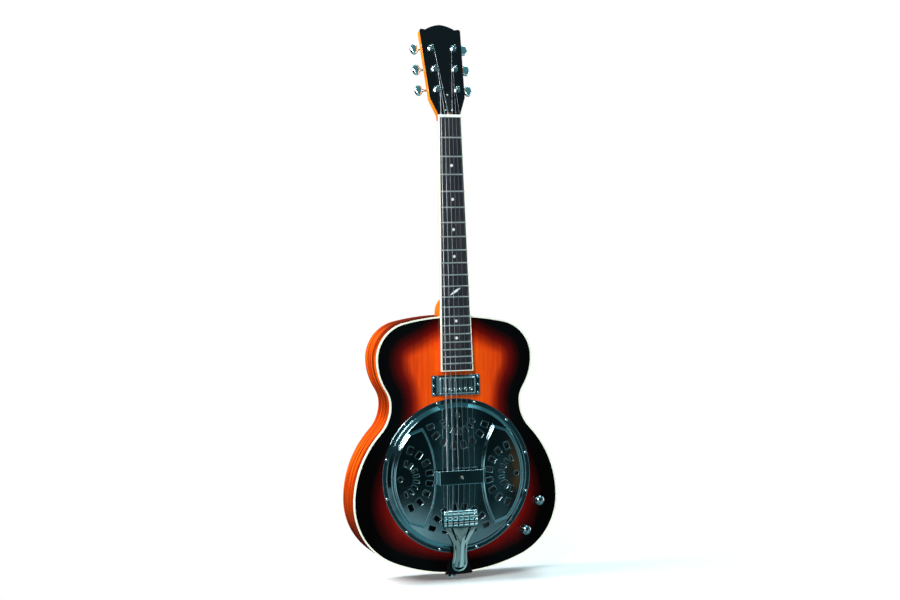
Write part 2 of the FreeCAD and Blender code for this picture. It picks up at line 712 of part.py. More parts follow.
def make_tension_screw():
    """Machine screw from the spider's bar to a nut under the cone's peak."""
    head = BAR_TOP_Y + SADDLE_SLOT_H
    end = LEDGE_Y - CONE_T + CONE_DEPTH - CONE_PEAK + CONE_T
    body = rod(TENSION_SCREW_R, V(0, head, CENTRE_Z), V(0, end + 3, CENTRE_Z))
    body = body.fuse(disc(SADDLE_T / 2, 0, CENTRE_Z, head - 3, head))
    nut = Part.makeCylinder(3.2, 2.2, V(0, end, CENTRE_Z), V(0, 1, 0))
    return body.fuse(nut).cut(box(-3, head - 4, CENTRE_Z - 0.3, 3, head - 2, CENTRE_Z + 0.3))


# ---- neck, in its own frame: X across, Y into the wood from the fingerboard's face, Z towards the nut ----

def in_neck(shape):
    return placed(shape, NECK_FRAME)


def in_head(shape):
    return placed(shape, HEAD_FRAME)


def half_width(s):
    """Half width of the fingerboard at a place along the neck."""
    share = (NUT_S - s) / (NUT_S + FB_OVERHANG)
    return (FB_NUT_W + (FB_END_W - FB_NUT_W) * share) / 2


def fret_place(number):
    return SADDLE_S + SCALE_LENGTH * 2 ** (-number / 12.0)


def board_slab(inset, top, bottom, low_s, high_s):
    """Slab with the fingerboard's taper, narrower by inset on each side."""
    points = [V(-half_width(low_s) + inset, top, low_s), V(half_width(low_s) - inset, top, low_s)]
    points += [V(half_width(high_s) - inset, top, high_s), V(-half_width(high_s) + inset, top, high_s)]
    return polygon(points).extrude(V(0, bottom - top, 0))


def neck_section(s, depth):
    """D section of the neck: flat under the fingerboard, half an ellipse behind."""
    half = half_width(s)
    if half >= depth:
        curve = Part.Ellipse(V(half, FB_T, s), V(0, FB_T + depth, s), V(0, FB_T, s))
        back = Part.ArcOfEllipse(curve, 0, math.pi).toShape()
    else:
        curve = Part.Ellipse(V(0, FB_T + depth, s), V(half, FB_T, s), V(0, FB_T, s))
        back = Part.ArcOfEllipse(curve, -math.pi / 2, math.pi / 2).toShape()
    ends = [vertex.Point for vertex in back.Vertexes]
    return Part.Wire([back, Part.makeLine(ends[-1], ends[0])])


def heel_section(depth, half, length):
    """Heel section at one depth: straight at the body, half an ellipse towards the nut."""
    low = -4.0
    corner = V(half, depth, low)
    other = V(-half, depth, low)
    shoulder = 3.0
    nose = max(length - shoulder, half + 0.1)
    curve = Part.Ellipse(V(0, depth, shoulder + nose), V(half, depth, shoulder), V(0, depth, shoulder))
    front = Part.ArcOfEllipse(curve, -math.pi / 2, math.pi / 2).toShape()
    ends = [vertex.Point for vertex in front.Vertexes]
    first, last = (ends[0], ends[-1])
    near = corner if (first - corner).Length < (last - corner).Length else other
    far = other if near is corner else corner
    return Part.Wire([front] + Part.makePolygon([last, far, near, first]).Edges)


def make_heel():
    wide = half_width(0) - 0.4
    fall = HEEL_DEPTH - FB_T
    sections = []
    for down, across, along in HEEL_STATIONS:
        sections.append(heel_section(FB_T + fall * down, wide * across, HEEL_LENGTH * along))
    return Part.makeLoft(sections, True, False)


def head_outline(inset, low):
    """Headstock outline in its own frame: flared sides, rounded top corners and a low middle hump."""
    foot = FB_NUT_W / 2 - inset
    flare = HEAD_FLARE_HALF - inset
    top = HEAD_TOP_HALF - inset
    high = HEAD_TOP_Z - inset
    corner = 4.0
    hump = HEAD_HUMP_HALF
    dip = high - 1.2
    right = [V(foot, 0, low), V(foot, 0, 3), V(flare, 0, HEAD_FLARE_Z), V(top, 0, high - corner)]
    right += [V(top - corner, 0, high), V(hump + 4, 0, dip)]
    peak = V(0, 0, high + HEAD_HUMP_H)
    crest = V(hump * 0.52, 0, high + HEAD_HUMP_H * 0.72)
    edges = [Part.makeLine(a, b) for a, b in zip(right[:3], right[1:4])]
    middle = V(top - corner * 0.29, 0, high - corner * 0.29)
    edges.append(Part.Arc(right[3], middle, right[4]).toShape())
    edges.append(Part.makeLine(right[4], right[5]))
    edges.append(Part.Arc(right[5], crest, peak).toShape())
    mirrored = [edge.mirror(V(0, 0, 0), V(1, 0, 0)) for edge in reversed(edges)]
    edges = edges + mirrored
    edges.append(Part.makeLine(V(-foot, 0, low), V(foot, 0, low)))
    return Part.Wire(edges)


def head_slab(inset, low, front, back):
    face = Part.Face(head_outline(inset, low))
    face.translate(V(0, front, 0))
    return face.extrude(V(0, back - front, 0))


def post_places():
    """(x, u) of the six posts, from the lowest string to the highest."""
    bass = [(-x, u) for x, u in zip(POST_X, POST_U)]
    treble = [(x, u) for x, u in zip(POST_X, POST_U)]
    return bass + treble[::-1]


def truss_channel():
    """Channel routed in the neck's face, open towards the pocket in the headstock."""
    half = TRUSS_R + GLUE
    channel = rod(half, V(0, TRUSS_DEPTH, TRUSS_START - 2), V(0, TRUSS_DEPTH, NUT_S + NUT_T + 2))
    mouth = box(-half, FB_T - 1, TRUSS_START - 2, half, TRUSS_DEPTH, NUT_S + NUT_T + 2)
    return channel.fuse(mouth)


def truss_pocket():
    """Pocket in the headstock's face round the truss rod's socket nut, under the cover."""
    half = TRUSS_COLLAR_R + 1
    return box(-half, -1, -NUT_T - 1, half, TRUSS_DEPTH, COVER_TIP_Z - 10)


def make_neck():
    """Neck, heel, headstock and the tongue under the fingerboard's end, in one piece of wood."""
    low = neck_section(-4.0, NECK_HEEL_DEPTH)
    high = neck_section(NUT_S + NUT_T + 14, NECK_NUT_DEPTH)
    shaft = Part.makeLoft([low, high], True, True)
    neck = in_neck(shaft.fuse(make_heel()))
    clear = body_prism(GLUE, FRONT_Y, BACK_Y + 40)
    neck = neck.cut(clear)
    front_of_head = box(-60, -60, 0, 60, VENEER_T, 120)
    neck = neck.cut(in_head(front_of_head))
    tongue = in_neck(board_slab(FB_BINDING_T, FB_T, FB_T + 20, -FB_OVERHANG + 1, 2))
    tongue = tongue.common(box(-60, FRONT_Y - 40, 0, 60, FRONT_Y, TOP_Z + 20))
    head = in_head(head_slab(0, -6, VENEER_T, HEAD_T))
    head = head.cut(in_neck(box(-60, -60, NUT_S - 30, 60, FB_T, NUT_S + NUT_T + 0.6)))
    neck = neck.fuse([tongue, head, tenon(0)])
    cutters = [in_neck(truss_channel()), in_head(truss_pocket())]
    for x, u in post_places():
        cutters.append(in_head(disc(BUSHING_R + GLUE, x, u, -1, HEAD_T + 1)))
        screw_hole = disc(TUNER_SCREW_R + GLUE, x, u - TUNER_SCREW_DROP, HEAD_T - TUNER_SCREW_L, HEAD_T + 1)
        cutters.append(in_head(screw_hole))
    for x, u in cover_screw_places():
        cutters.append(in_head(disc(COVER_SCREW_SHANK + GLUE, x, u, VENEER_T - 1, COVER_SCREW_L)))
    cutters.append(strap_screw_hole())
    for cutter in cutters:
        neck = neck.cut(cutter)
    return neck


def make_fingerboard():
    board = board_slab(FB_BINDING_T + GLUE, 0, FB_T, -FB_OVERHANG + FB_BINDING_T + GLUE, NUT_S)
    cutters = []
    for number in range(1, FRET_COUNT + 1):
        s = fret_place(number)
        half_slot = FRET_TANG_W / 2
        cutters.append(box(-60, -1, s - half_slot, 60, FRET_TANG_H, s + half_slot))
    for x, s in dot_places():
        cutters.append(disc(DOT_R + GLUE, x, s, -1, INLAY_T))
    cutters.append(slash_inlay(GLUE, -1, INLAY_T))
    return in_neck(board.cut(Part.makeCompound(cutters)))


def make_fingerboard_binding():
    """White strips along both sides and across the end of the board, joined at the corners."""
    outer = board_slab(0, 0, FB_T, -FB_OVERHANG, NUT_S)
    inner = board_slab(FB_BINDING_T, -1, FB_T + 1, -FB_OVERHANG + FB_BINDING_T, NUT_S + 10)
    return in_neck(outer.cut(inner))


def make_frets():
    """Fret wires: a rounded crown across the board and binding, with a tang in each slot."""
    frets = []
    for number in range(1, FRET_COUNT + 1):
        s = fret_place(number)
        half = half_width(s)
        crown = Part.Arc(V(0, 0, s - FRET_W / 2), V(0, -FRET_H, s), V(0, 0, s + FRET_W / 2)).toShape()
        base = Part.makeLine(V(0, 0, s + FRET_W / 2), V(0, 0, s - FRET_W / 2))
        wire = Part.Face(Part.Wire([crown, base])).extrude(V(2 * half - 0.6, 0, 0))
        wire.translate(V(-half + 0.3, 0, 0))
        reach = half - FB_BINDING_T - 1
        tang = box(-reach, -0.1, s - FRET_TANG_W / 2, reach, FRET_TANG_H - 0.1, s + FRET_TANG_W / 2)
        frets.append(wire.fuse(tang))
    return in_neck(Part.makeCompound(frets))


def dot_places():
    return [(0.0, (fret_place(number) + fret_place(number - 1)) / 2) for number in DOT_FRETS]


def slash_inlay(gap, front, back):
    """Slanting leaf between the eleventh and twelfth frets."""
    s = (fret_place(11) + fret_place(12)) / 2
    half = SLASH_LENGTH / 2 + gap
    bulge = SLASH_W / 2 + gap
    tips = (V(-half, front, 0), V(half, front, 0))
    upper = Part.Arc(tips[0], V(0, front, bulge), tips[1]).toShape()
    lower = Part.Arc(tips[1], V(0, front, -bulge), tips[0]).toShape()
    leaf = Part.Face(Part.Wire([upper, lower])).extrude(V(0, back - front, 0))
    leaf.rotate(V(0, 0, 0), V(0, 1, 0), -SLASH_ANGLE)
    leaf.translate(V(0, 0, s))
    return leaf


def make_inlays():
    pieces = [disc(DOT_R, x, s, 0, INLAY_T) for x, s in dot_places()]
    pieces.append(slash_inlay(0, 0, INLAY_T))
    return in_neck(Part.makeCompound(pieces))


def make_nut():
    half = FB_NUT_W / 2
    nut = box(-half, -NUT_H, NUT_S, half, FB_T, NUT_S + NUT_T)
    long_edges = [e for e in nut.Edges if e.BoundBox.YMax < 0.01 - NUT_H and e.BoundBox.XLength > 1]
    nut = in_neck(nut.makeFillet(1.2, long_edges))
    for string in string_solids():
        nut = nut.cut(string)
    return nut


def make_headstock_veneer():
    veneer = in_head(head_slab(0, 0, 0, VENEER_T))
    veneer = veneer.cut(in_neck(box(-60, -60, NUT_S - 30, 60, FB_T + 6, NUT_S + NUT_T + GLUE)))
    cutters = [in_head(truss_pocket())]
    for x, u in post_places():
        cutters.append(in_head(disc(BUSHING_R + GLUE, x, u, -1, VENEER_T + 1)))
    for x, u in cover_screw_places():
        cutters.append(in_head(disc(COVER_SCREW_SHANK + GLUE, x, u, -1, VENEER_T + 1)))
    for cutter in cutters:
        veneer = veneer.cut(cutter)
    return veneer


def make_truss_rod():
    end = NUT_S + NUT_T
    bar = rod(TRUSS_R, V(0, TRUSS_DEPTH, TRUSS_START), V(0, TRUSS_DEPTH, end + 4))
    collar = rod(TRUSS_COLLAR_R, V(0, TRUSS_DEPTH, end + 3), V(0, TRUSS_DEPTH, end + 11))
    socket = rod(1.8, V(0, TRUSS_DEPTH, end + 5), V(0, TRUSS_DEPTH, end + 12))
    return in_neck(bar.fuse(collar).cut(socket))


def cover_screw_places():
    side = COVER_HALF - 2.6
    return ((-side, COVER_BASE_Z + 3.2), (side, COVER_BASE_Z + 3.2), (0.0, COVER_TIP_Z - 5.0))


def make_truss_rod_cover():
    """Bell-shaped cover plate over the truss rod's end."""
    belly = (COVER_HALF * 0.72, COVER_BASE_Z + (COVER_TIP_Z - COVER_BASE_Z) * 0.45)
    tip_half = 3.2
    shoulder = COVER_TIP_Z - tip_half

    def point(x, z):
        return V(x, -COVER_T, z)

    left, right = point(-COVER_HALF, COVER_BASE_Z), point(COVER_HALF, COVER_BASE_Z)
    high_left, high_right = point(-tip_half, shoulder), point(tip_half, shoulder)
    edges = [Part.makeLine(left, right),
             Part.Arc(right, point(*belly), high_right).toShape(),
             Part.Arc(high_right, point(0, COVER_TIP_Z), high_left).toShape(),
             Part.Arc(high_left, point(-belly[0], belly[1]), left).toShape()]
    cover = Part.Face(Part.Wire(edges)).extrude(V(0, COVER_T, 0))
    for x, u in cover_screw_places():
        cover = cover.cut(disc(COVER_SCREW_SHANK + GLUE, x, u, -COVER_T - 1, 1))
    return in_head(cover)


def make_truss_rod_cover_screws():
    screws = []
    for x, u in cover_screw_places():
        small = screw(COVER_SCREW_L + COVER_T - 0.4, 1.7, COVER_SCREW_SHANK, 0.9)
        screws.append(in_head(placed(small, Placement(V(x, -COVER_T, u), Rotation()))))
    return Part.makeCompound(screws)


# ---- tuning machines, in the headstock's frame about each post ----

def side_of(x):
    return 1 if x > 0 else -1


def make_tuner_housings():
    """Sealed gear housings on the back of the headstock, each with its screw tab and shaft collar."""
    housings = []
    for x, u in post_places():
        side = side_of(x)
        half = HOUSING_HALF
        low, high = -HOUSING_LOW, HOUSING_HIGH
        top = HEAD_T + HOUSING_H
        shell = box(-half, HEAD_T, low, half, top, high)
        shell = shell.makeFillet(2.0, [e for e in shell.Edges if abs(e.BoundBox.YMin - HEAD_T) > 0.1])
        tab = box(-3.6, HEAD_T, low - 6.2, 3.6, HEAD_T + TAB_T, low + 1)
        shell = shell.fuse(tab)
        axis = V(0, WORM_DEPTH, WORM_OFFSET)
        out = V(side, 0, 0)
        shell = shell.fuse(rod(COLLAR_R, axis + out * (half - 1), axis + out * (half + COLLAR_L)))
        wall = HOUSING_WALL
        cavity = box(-half + wall, HEAD_T - 1, low + wall, half - wall, top - wall, high - wall)
        shell = shell.cut(cavity)
        bearing = rod(SHAFT_R + RUNNING, axis - out * (half - 0.5), axis + out * (half + COLLAR_L + 1))
        shell = shell.cut(bearing)
        shell = shell.cut(disc(POST_FOOT_R + RUNNING, 0, 0, top - wall - 1, top - 0.4))
        shell = shell.cut(disc(TUNER_SCREW_R + GLUE, 0, -TUNER_SCREW_DROP, HEAD_T - 1, HEAD_T + 3))
        shell.translate(V(x, 0, u))
        housings.append(in_head(shell))
    return Part.makeCompound(housings)


def make_tuner_bushings():
    """Threaded sleeve, washer and hexagon nut round each post."""
    bushings = []
    for x, u in post_places():
        sleeve = disc(BUSHING_R, 0, 0, -BUSHING_FLANGE_T, HEAD_T - 0.3)
        washer = disc(BUSHING_FLANGE_R, 0, 0, -BUSHING_FLANGE_T, 0)
        hexagon = []
        for index in range(6):
            angle = math.pi / 3 * index
            hexagon.append(V(BUSHING_NUT_R * math.cos(angle), 0, BUSHING_NUT_R * math.sin(angle)))
        nut = polygon(hexagon).extrude(V(0, BUSHING_NUT_T, 0))
        nut.translate(V(0, -BUSHING_FLANGE_T - BUSHING_NUT_T, 0))
        bushing = sleeve.fuse([washer, nut])
        bushing = bushing.cut(disc(POST_R + RUNNING, 0, 0, -20, HEAD_T + 1))
        bushing.translate(V(x, 0, u))
        bushings.append(in_head(bushing))
    return Part.makeCompound(bushings)


def make_tuner_screws():
    screws = []
    for x, u in post_places():
        small = screw(TUNER_SCREW_L, 1.9, TUNER_SCREW_R, 1.0)
        turn = Placement(V(x, HEAD_T + TAB_T, u - TUNER_SCREW_DROP), Rotation(V(1, 0, 0), 180))
        screws.append(in_head(placed(small, turn)))
    return Part.makeCompound(screws)


def worm_thread():
    """One-start right-hand trapezoid thread along +X, with a crest facing the wheel at mid length."""
    root = WORM_R - GEAR_DEDENDUM
    tip = WORM_R + GEAR_ADDENDUM
    length = WORM_TURNS * WORM_PITCH
    helix = Part.makeHelix(WORM_PITCH, length, root)
    half_root = WORM_PITCH * TOOTH_SHARE * 0.72
    half_tip = WORM_PITCH * TOOTH_SHARE * 0.28
    sink = 0.15
    profile = Part.makePolygon([V(root - sink, 0, -half_root), V(tip, 0, -half_tip), V(tip, 0, half_tip),
                                V(root - sink, 0, half_root), V(root - sink, 0, -half_root)])
    pipe = Part.Wire(helix.Edges).makePipeShell([profile], True, True)
    pipe.translate(V(0, 0, -length / 2))
    pipe.rotate(V(0, 0, 0), V(0, 1, 0), 90)
    return pipe


def worm_shaft(side):
    """Worm, its two thrust collars, the shaft and the oval button with its screw, about the worm's axis."""
    inner = HOUSING_HALF - HOUSING_WALL
    root = WORM_R - GEAR_DEDENDUM
    shaft = rod(SHAFT_R, V(-side * (HOUSING_HALF - 0.6), 0, 0), V(side * (inner + 1), 0, 0))
    shaft = shaft.fuse(rod(root, V(-inner + 0.1, 0, 0), V(inner - 0.1, 0, 0)))
    for end in (-1, 1):
        start = V(end * (WORM_TURNS / 2 + 0.6) * WORM_PITCH, 0, 0)
        shaft = shaft.fuse(rod(WORM_R + 0.3, start, V(end * (inner - 0.08), 0, 0)))
    return shaft.fuse(worm_thread())


def make_tuner_button(x, u):
    side = side_of(x)
    gear = worm_shaft(side)
    reach = BUTTON_X - abs(x)
    inner_end = V(side * (reach - BUTTON_W / 2), 0, 0)
    out = V(side, 0, 0)
    neck_ring = rod(3.0, inner_end - out * 2, inner_end + out * 2)
    stem = rod(SHAFT_R, out * (HOUSING_HALF - 1), inner_end + out * 2)
    curve = Part.Ellipse(V(0, 0, BUTTON_L / 2), V(BUTTON_W / 2, 0, 0), V(0, 0, 0))
    face = Part.Face(Part.Wire([curve.toShape()]))
    face.translate(V(side * reach, -BUTTON_T / 2, 0))
    button = face.extrude(V(0, BUTTON_T, 0))
    button = button.makeFillet(BUTTON_T * 0.36, [e for e in button.Edges if e.BoundBox.YLength < 0.01])
    whole = gear.fuse([stem, neck_ring, button])
    end = V(side * (reach + BUTTON_W / 2), 0, 0)
    cap = rod(2.0, end - out, end + out * 0.8)
    slot = end.x + side * 0.8
    whole = whole.fuse(cap).cut(box(slot - 0.5, -3, -0.3, slot + 0.5, 3, 0.3))
    whole.translate(V(x, WORM_DEPTH, u + WORM_OFFSET))
    return in_head(whole)


def worm_wheel():
    """Helical wheel about the Y axis, at mid face, in mesh with the worm at rest."""
    pitch = 2 * math.pi / GEAR_TEETH
    pitch_r = GEAR_MODULE * GEAR_TEETH / 2
    root = pitch_r - GEAR_DEDENDUM
    tip = pitch_r + GEAR_ADDENDUM
    lean = math.tan(WHEEL_LEAN) * GEAR_W / (2 * pitch_r)
    wires = []
    for level, twist in ((-GEAR_W / 2, lean), (GEAR_W / 2, -lean)):
        points = []
        for tooth in range(GEAR_TEETH):
            middle = math.pi / 2 + pitch * (tooth + 0.5) + twist
            for share, radius in ((-0.72, root), (-0.28, tip), (0.28, tip), (0.72, root)):
                angle = middle + pitch * TOOTH_SHARE * share
                points.append(V(radius * math.cos(angle), level, radius * math.sin(angle)))
        wires.append(Part.makePolygon(points + [points[0]]))
    return Part.makeLoft(wires, True, True)


def make_tuner_post():
    """Post with its wheel, its slotted top, and the turns of string wound round it."""
    top = -POST_RISE
    lower = HEAD_T + HOUSING_H - HOUSING_WALL
    post = disc(POST_R, 0, 0, top, WORM_DEPTH - GEAR_W / 2 + 0.5)
    post = post.makeFillet(0.8, [e for e in post.Edges if abs(e.BoundBox.YMax - top) < 0.01])
    waist = Part.makeTorus(POST_R + 0.9, 1.3, V(0, top + 3.0, 0), V(0, 1, 0))
    post = post.cut(waist)
    wheel = worm_wheel()
    wheel.translate(V(0, WORM_DEPTH, 0))
    post = post.fuse([wheel, disc(POST_FOOT_R, 0, 0, WORM_DEPTH, lower + 0.6)])
    post = post.cut(rod(0.9, V(-POST_R - 1, top + 4.2, 0), V(POST_R + 1, top + 4.2, 0)))
    return post


def make_winding(radius):
    turns = []
    for index in range(WINDING_TURNS):
        level = WINDING_DEPTH - index * 2 * radius
        turns.append(Part.makeTorus(POST_R + radius + 0.02, radius, V(0, level, 0), V(0, 1, 0)))
    return turns


def make_post_node(x, u, radius):
    pieces = [make_tuner_post()] + make_winding(radius)
    moved = []
    for piece in pieces:
        piece.translate(V(x, 0, u))
        moved.append(in_head(piece))
    return Part.makeCompound(moved)


# ---- strings ----

def string_route(index):
    """Points of one string: beside its post, over the nut, over the saddle and into the tailpiece."""
    radius = STRING_RADII[index]
    x, u = post_places()[index]
    beside = x - side_of(x) * (POST_R + 2 * radius + FREE + radius)
    start = HEAD_FRAME.multVec(V(beside, WINDING_DEPTH - radius, u))
    nut_x = string_x(index, STRING_NUT_SPAN)
    rise = -STRING_NUT_RISE - radius
    nut_high = NECK_FRAME.multVec(V(nut_x, rise + 0.2, NUT_S + NUT_T))
    nut_low = NECK_FRAME.multVec(V(nut_x, rise, NUT_S + 0.5))
    saddle = V(string_x(index, STRING_SADDLE_SPAN), SADDLE_Y - radius + 0.3, CENTRE_Z)
    tail_x = string_x(index, STRING_TAIL_SPAN)
    bar = V(tail_x, tail_bar_y() - 1.6, tail_bar_z())
    ball = V(tail_x, tail_bar_y() + BALL_R + 0.25, tail_bar_z() - BALL_DROP)
    return [start, nut_high, nut_low, saddle, bar, ball]


def string_solids():
    """Each string is a round wire of straight runs with mitred corners, and a ball at its tail end."""
    strings = []
    for index in range(6):
        radius = STRING_RADII[index]
        points = string_route(index)
        path = Part.makePolygon(points)
        section = Part.Wire(Part.makeCircle(radius, points[0], points[1] - points[0]))
        string = path.makePipeShell([section], True, False, 1)
        strings.append(string.fuse(Part.makeSphere(BALL_R, points[-1])))
    return strings


# ---- pickup ----

def ring_screw_places():
    z = TAIL_Z + PICKUP_Z
    x = RING_W / 2 - 4
    rise = RING_H / 2 - 4
    return [(side * x, z + level) for side in (-1, 1) for level in (-rise, 0, rise)]


def make_pickup_ring():
    z = TAIL_Z + PICKUP_Z
    ring = box(-RING_W / 2, FRONT_Y - RING_T, z - RING_H / 2, RING_W / 2, FRONT_Y, z + RING_H / 2)
    ring = ring.makeFillet(1.0, [e for e in ring.Edges if e.BoundBox.YMin < FRONT_Y - 0.01])
    gap = 0.4
    half_w = PICKUP_W / 2 + gap
    half_h = PICKUP_H / 2 + gap
    ring = ring.cut(box(-half_w, FRONT_Y - 9, z - half_h, half_w, FRONT_Y + 1, z + half_h))
    for x, height in ring_screw_places():
        ring = ring.cut(disc(SCREW_SHANK + GLUE, x, height, FRONT_Y - 9, FRONT_Y + 1))
    return ring


def pickup_block(inset, top, low):
    z = TAIL_Z + PICKUP_Z
    half_w = PICKUP_W / 2 - inset
    half_h = PICKUP_H / 2 - inset
    return box(-half_w, top, z - half_h, half_w, low, z + half_h)


def make_pickup_cover():
    """Drawn metal cover, rounded all over its front and open behind, with holes for the pole screws."""
    top = FRONT_Y - PICKUP_RISE
    low = FRONT_Y + PICKUP_SINK
    cover = pickup_block(0, top, low)
    cover = cover.makeFillet(2.0, [e for e in cover.Edges if e.BoundBox.YMin < low - 0.01])
    cover = cover.cut(pickup_block(COVER_WALL, top + COVER_WALL, low + 1))
    for x in pole_places():
        cover = cover.cut(disc(POLE_R + GLUE, x, TAIL_Z + PICKUP_Z - POLE_DROP, top - 1, top + 3))
    return cover


def pole_places():
    return [POLE_PITCH * (index - 2.5) for index in range(6)]


def make_pickup_bobbins():
    """Two wound bobbins, side by side, filling the cover."""
    z = TAIL_Z + PICKUP_Z
    top = FRONT_Y - PICKUP_RISE + COVER_WALL
    half_w = PICKUP_W / 2 - COVER_WALL - 0.2
    tall = PICKUP_H / 2 - COVER_WALL - 0.2
    flange = 1.5
    bobbins = []
    for low, high in ((z - tall, z - 0.3), (z + 0.3, z + tall)):
        bobbin = box(-half_w, top, low, half_w, top + flange, high)
        coil_end = top + BOBBIN_H - flange
        coil = box(-half_w + 2, top + flange, low + flange, half_w - 2, coil_end, high - flange)
        bobbin = bobbin.fuse([coil, box(-half_w, coil_end, low, half_w, top + BOBBIN_H, high)])
        if high < z:
            for x in pole_places():
                bobbin = bobbin.cut(disc(POLE_SHANK_R + GLUE, x, z - POLE_DROP, top - 1, top + BOBBIN_H + 1))
                bobbin = bobbin.cut(disc(POLE_R + GLUE, x, z - POLE_DROP, top - 1, top + 0.6))
        bobbins.append(bobbin)
    return Part.makeCompound(bobbins)


def make_pickup_baseplate():
    """Metal base with an ear at each end for the height screws."""
    z = TAIL_Z + PICKUP_Z
    level = FRONT_Y - PICKUP_RISE + COVER_WALL + BOBBIN_H
    half_w = PICKUP_W / 2 - COVER_WALL - 0.2
    half_h = PICKUP_H / 2 - COVER_WALL - 0.2
    deep = FRONT_Y + PICKUP_SINK
    plate = box(-half_w, deep - 1.2, z - half_h, half_w, deep, z + half_h)
    ear = RING_W / 2 - 2.5
    plate = plate.fuse(box(-ear, deep, z - EAR_H / 2 + 0.5, ear, deep + 1.2, z + EAR_H / 2 - 0.5))
    for x, height in ring_screw_places():
        if abs(height - z) < 1:
            plate = plate.cut(disc(SCREW_SHANK + GLUE, x, height, deep - 1, deep + 3))
    magnet = box(-half_w + 5, level, z - 4, half_w - 5, deep - 1.2, z + 4)
    return Part.makeCompound([plate, magnet])


def make_pickup_pole_screws():
    z = TAIL_Z + PICKUP_Z
    top = FRONT_Y - PICKUP_RISE
    screws = []
    for x in pole_places():
        pole = screw(BOBBIN_H, POLE_R, POLE_SHANK_R, 1.1)
        pole.translate(V(x, top + 0.7, z - POLE_DROP))
        screws.append(pole)
    return Part.makeCompound(screws)


def make_pickup_ring_screws():
    z = TAIL_Z + PICKUP_Z
    screws = []
    for x, height in ring_screw_places():
        length = RING_T + PICKUP_SINK + 3 if abs(height - z) < 1 else RING_T + SOUNDBOARD_T - 0.3
        part = screw(length)
        part.translate(V(x, FRONT_Y - RING_T, height))
        screws.append(part)
    return Part.makeCompound(screws)


# ---- controls ----

def make_potentiometers():
    """Potentiometer cans under the soundboard, with their threaded necks, washers and nuts."""
    pots = []
    for x, z in pot_places():
        can = disc(POT_R, x, z, INNER_FRONT_Y, INNER_FRONT_Y + POT_H)
        neck_part = disc(POT_BUSH_R, x, z, FRONT_Y - KNOB_LIFT - 1.9, INNER_FRONT_Y + 1)
        washer = disc(6.2, x, z, FRONT_Y - 0.5, FRONT_Y)
        nut = disc(5.4, x, z, FRONT_Y - 1.9, FRONT_Y - 0.5)
        lugs = box(x - 5, INNER_FRONT_Y + 1, z - POT_R - 5, x + 5, INNER_FRONT_Y + 2.2, z - 2)
        pot = can.fuse([neck_part, washer, nut, lugs])
        pots.append(pot.cut(disc(POT_SHAFT_R + RUNNING, x, z, FRONT_Y - 20, INNER_FRONT_Y + 6)))
    return Part.makeCompound(pots)


def make_knob(x, z):
    """Domed metal knob with a knurled skirt, a hollow underneath for the nut, and its shaft."""
    base = FRONT_Y - KNOB_LIFT
    top = FRONT_Y - KNOB_H - KNOB_LIFT
    dome = 5.5
    shoulder = KNOB_R - 0.6
    ball = (shoulder ** 2 + dome ** 2) / (2 * dome)
    middle = top + ball - math.sqrt(ball ** 2 - shoulder ** 2 / 4)
    side = Part.makeLine(V(KNOB_R, base, 0), V(shoulder, top + dome, 0))
    crown = Part.Arc(V(shoulder, top + dome, 0), V(shoulder / 2, middle, 0), V(0, top, 0)).toShape()
    floor = Part.makeLine(V(0, top, 0), V(0, base, 0))
    rim = Part.makeLine(V(0, base, 0), V(KNOB_R, base, 0))
    knob = Part.Face(Part.Wire([side, crown, floor, rim])).revolve(V(0, 0, 0), V(0, 1, 0), 360)
    knob = knob.cut(disc(7.2, 0, 0, base - 3.2, base + 1))
    knob = knob.cut(disc(POT_SHAFT_R, 0, 0, base - 10, base + 1))
    flutes = []
    for index in range(KNOB_FLUTES):
        angle = 2 * math.pi * (index + 0.5) / KNOB_FLUTES
        flute = box(KNOB_R - 0.7, base - 6.5, -0.35, KNOB_R + 2, base - 0.8, 0.35)
        flute.rotate(V(0, 0, 0), V(0, 1, 0), math.degrees(angle))
        flutes.append(flute)
    knob = knob.cut(Part.makeCompound(flutes))
    shaft = disc(POT_SHAFT_R, 0, 0, base - 10, INNER_FRONT_Y + 5.8)
    for piece in (knob, shaft):
        piece.translate(V(x, 0, z))
    return Part.makeCompound([knob, shaft])


def jack_centre():
    return (LOWER_HALF - HIP_LOW_R, TAIL_Z + LOWER_Z)


def jack_point(out, along=0.0):
    """Point on the jack's axis, out from the rim's face."""
    angle = math.radians(JACK_ANGLE)
    reach = HIP_LOW_R + out
    centre = jack_centre()
    return V(centre[0] + reach * math.cos(angle), along, centre[1] + reach * math.sin(angle))


def make_output_jack():
    """Barrel jack through the rim: outer nut on the plate, inner nut, barrel and its blind bore."""
    face = jack_point(JACK_PLATE_T)
    mouth = jack_point(JACK_PLATE_T + JACK_NUT_T)
    bottom = jack_point(JACK_PLATE_T + JACK_NUT_T - JACK_BORE_L)
    body = rod(JACK_BODY_R, jack_point(-RIM_T - JACK_BORE_L - 4), face)
    inner_nut = rod(8.5, jack_point(-RIM_T - 3.2), jack_point(-RIM_T - 0.8))
    body = body.fuse([rod(8.0, face, mouth), inner_nut])
    return body.cut(rod(JACK_BORE_R, bottom, mouth + (mouth - bottom)))


def jack_screw_points():
    return [V(0, side * (JACK_PLATE_L / 2 - 4.5), 0) for side in (-1, 1)]


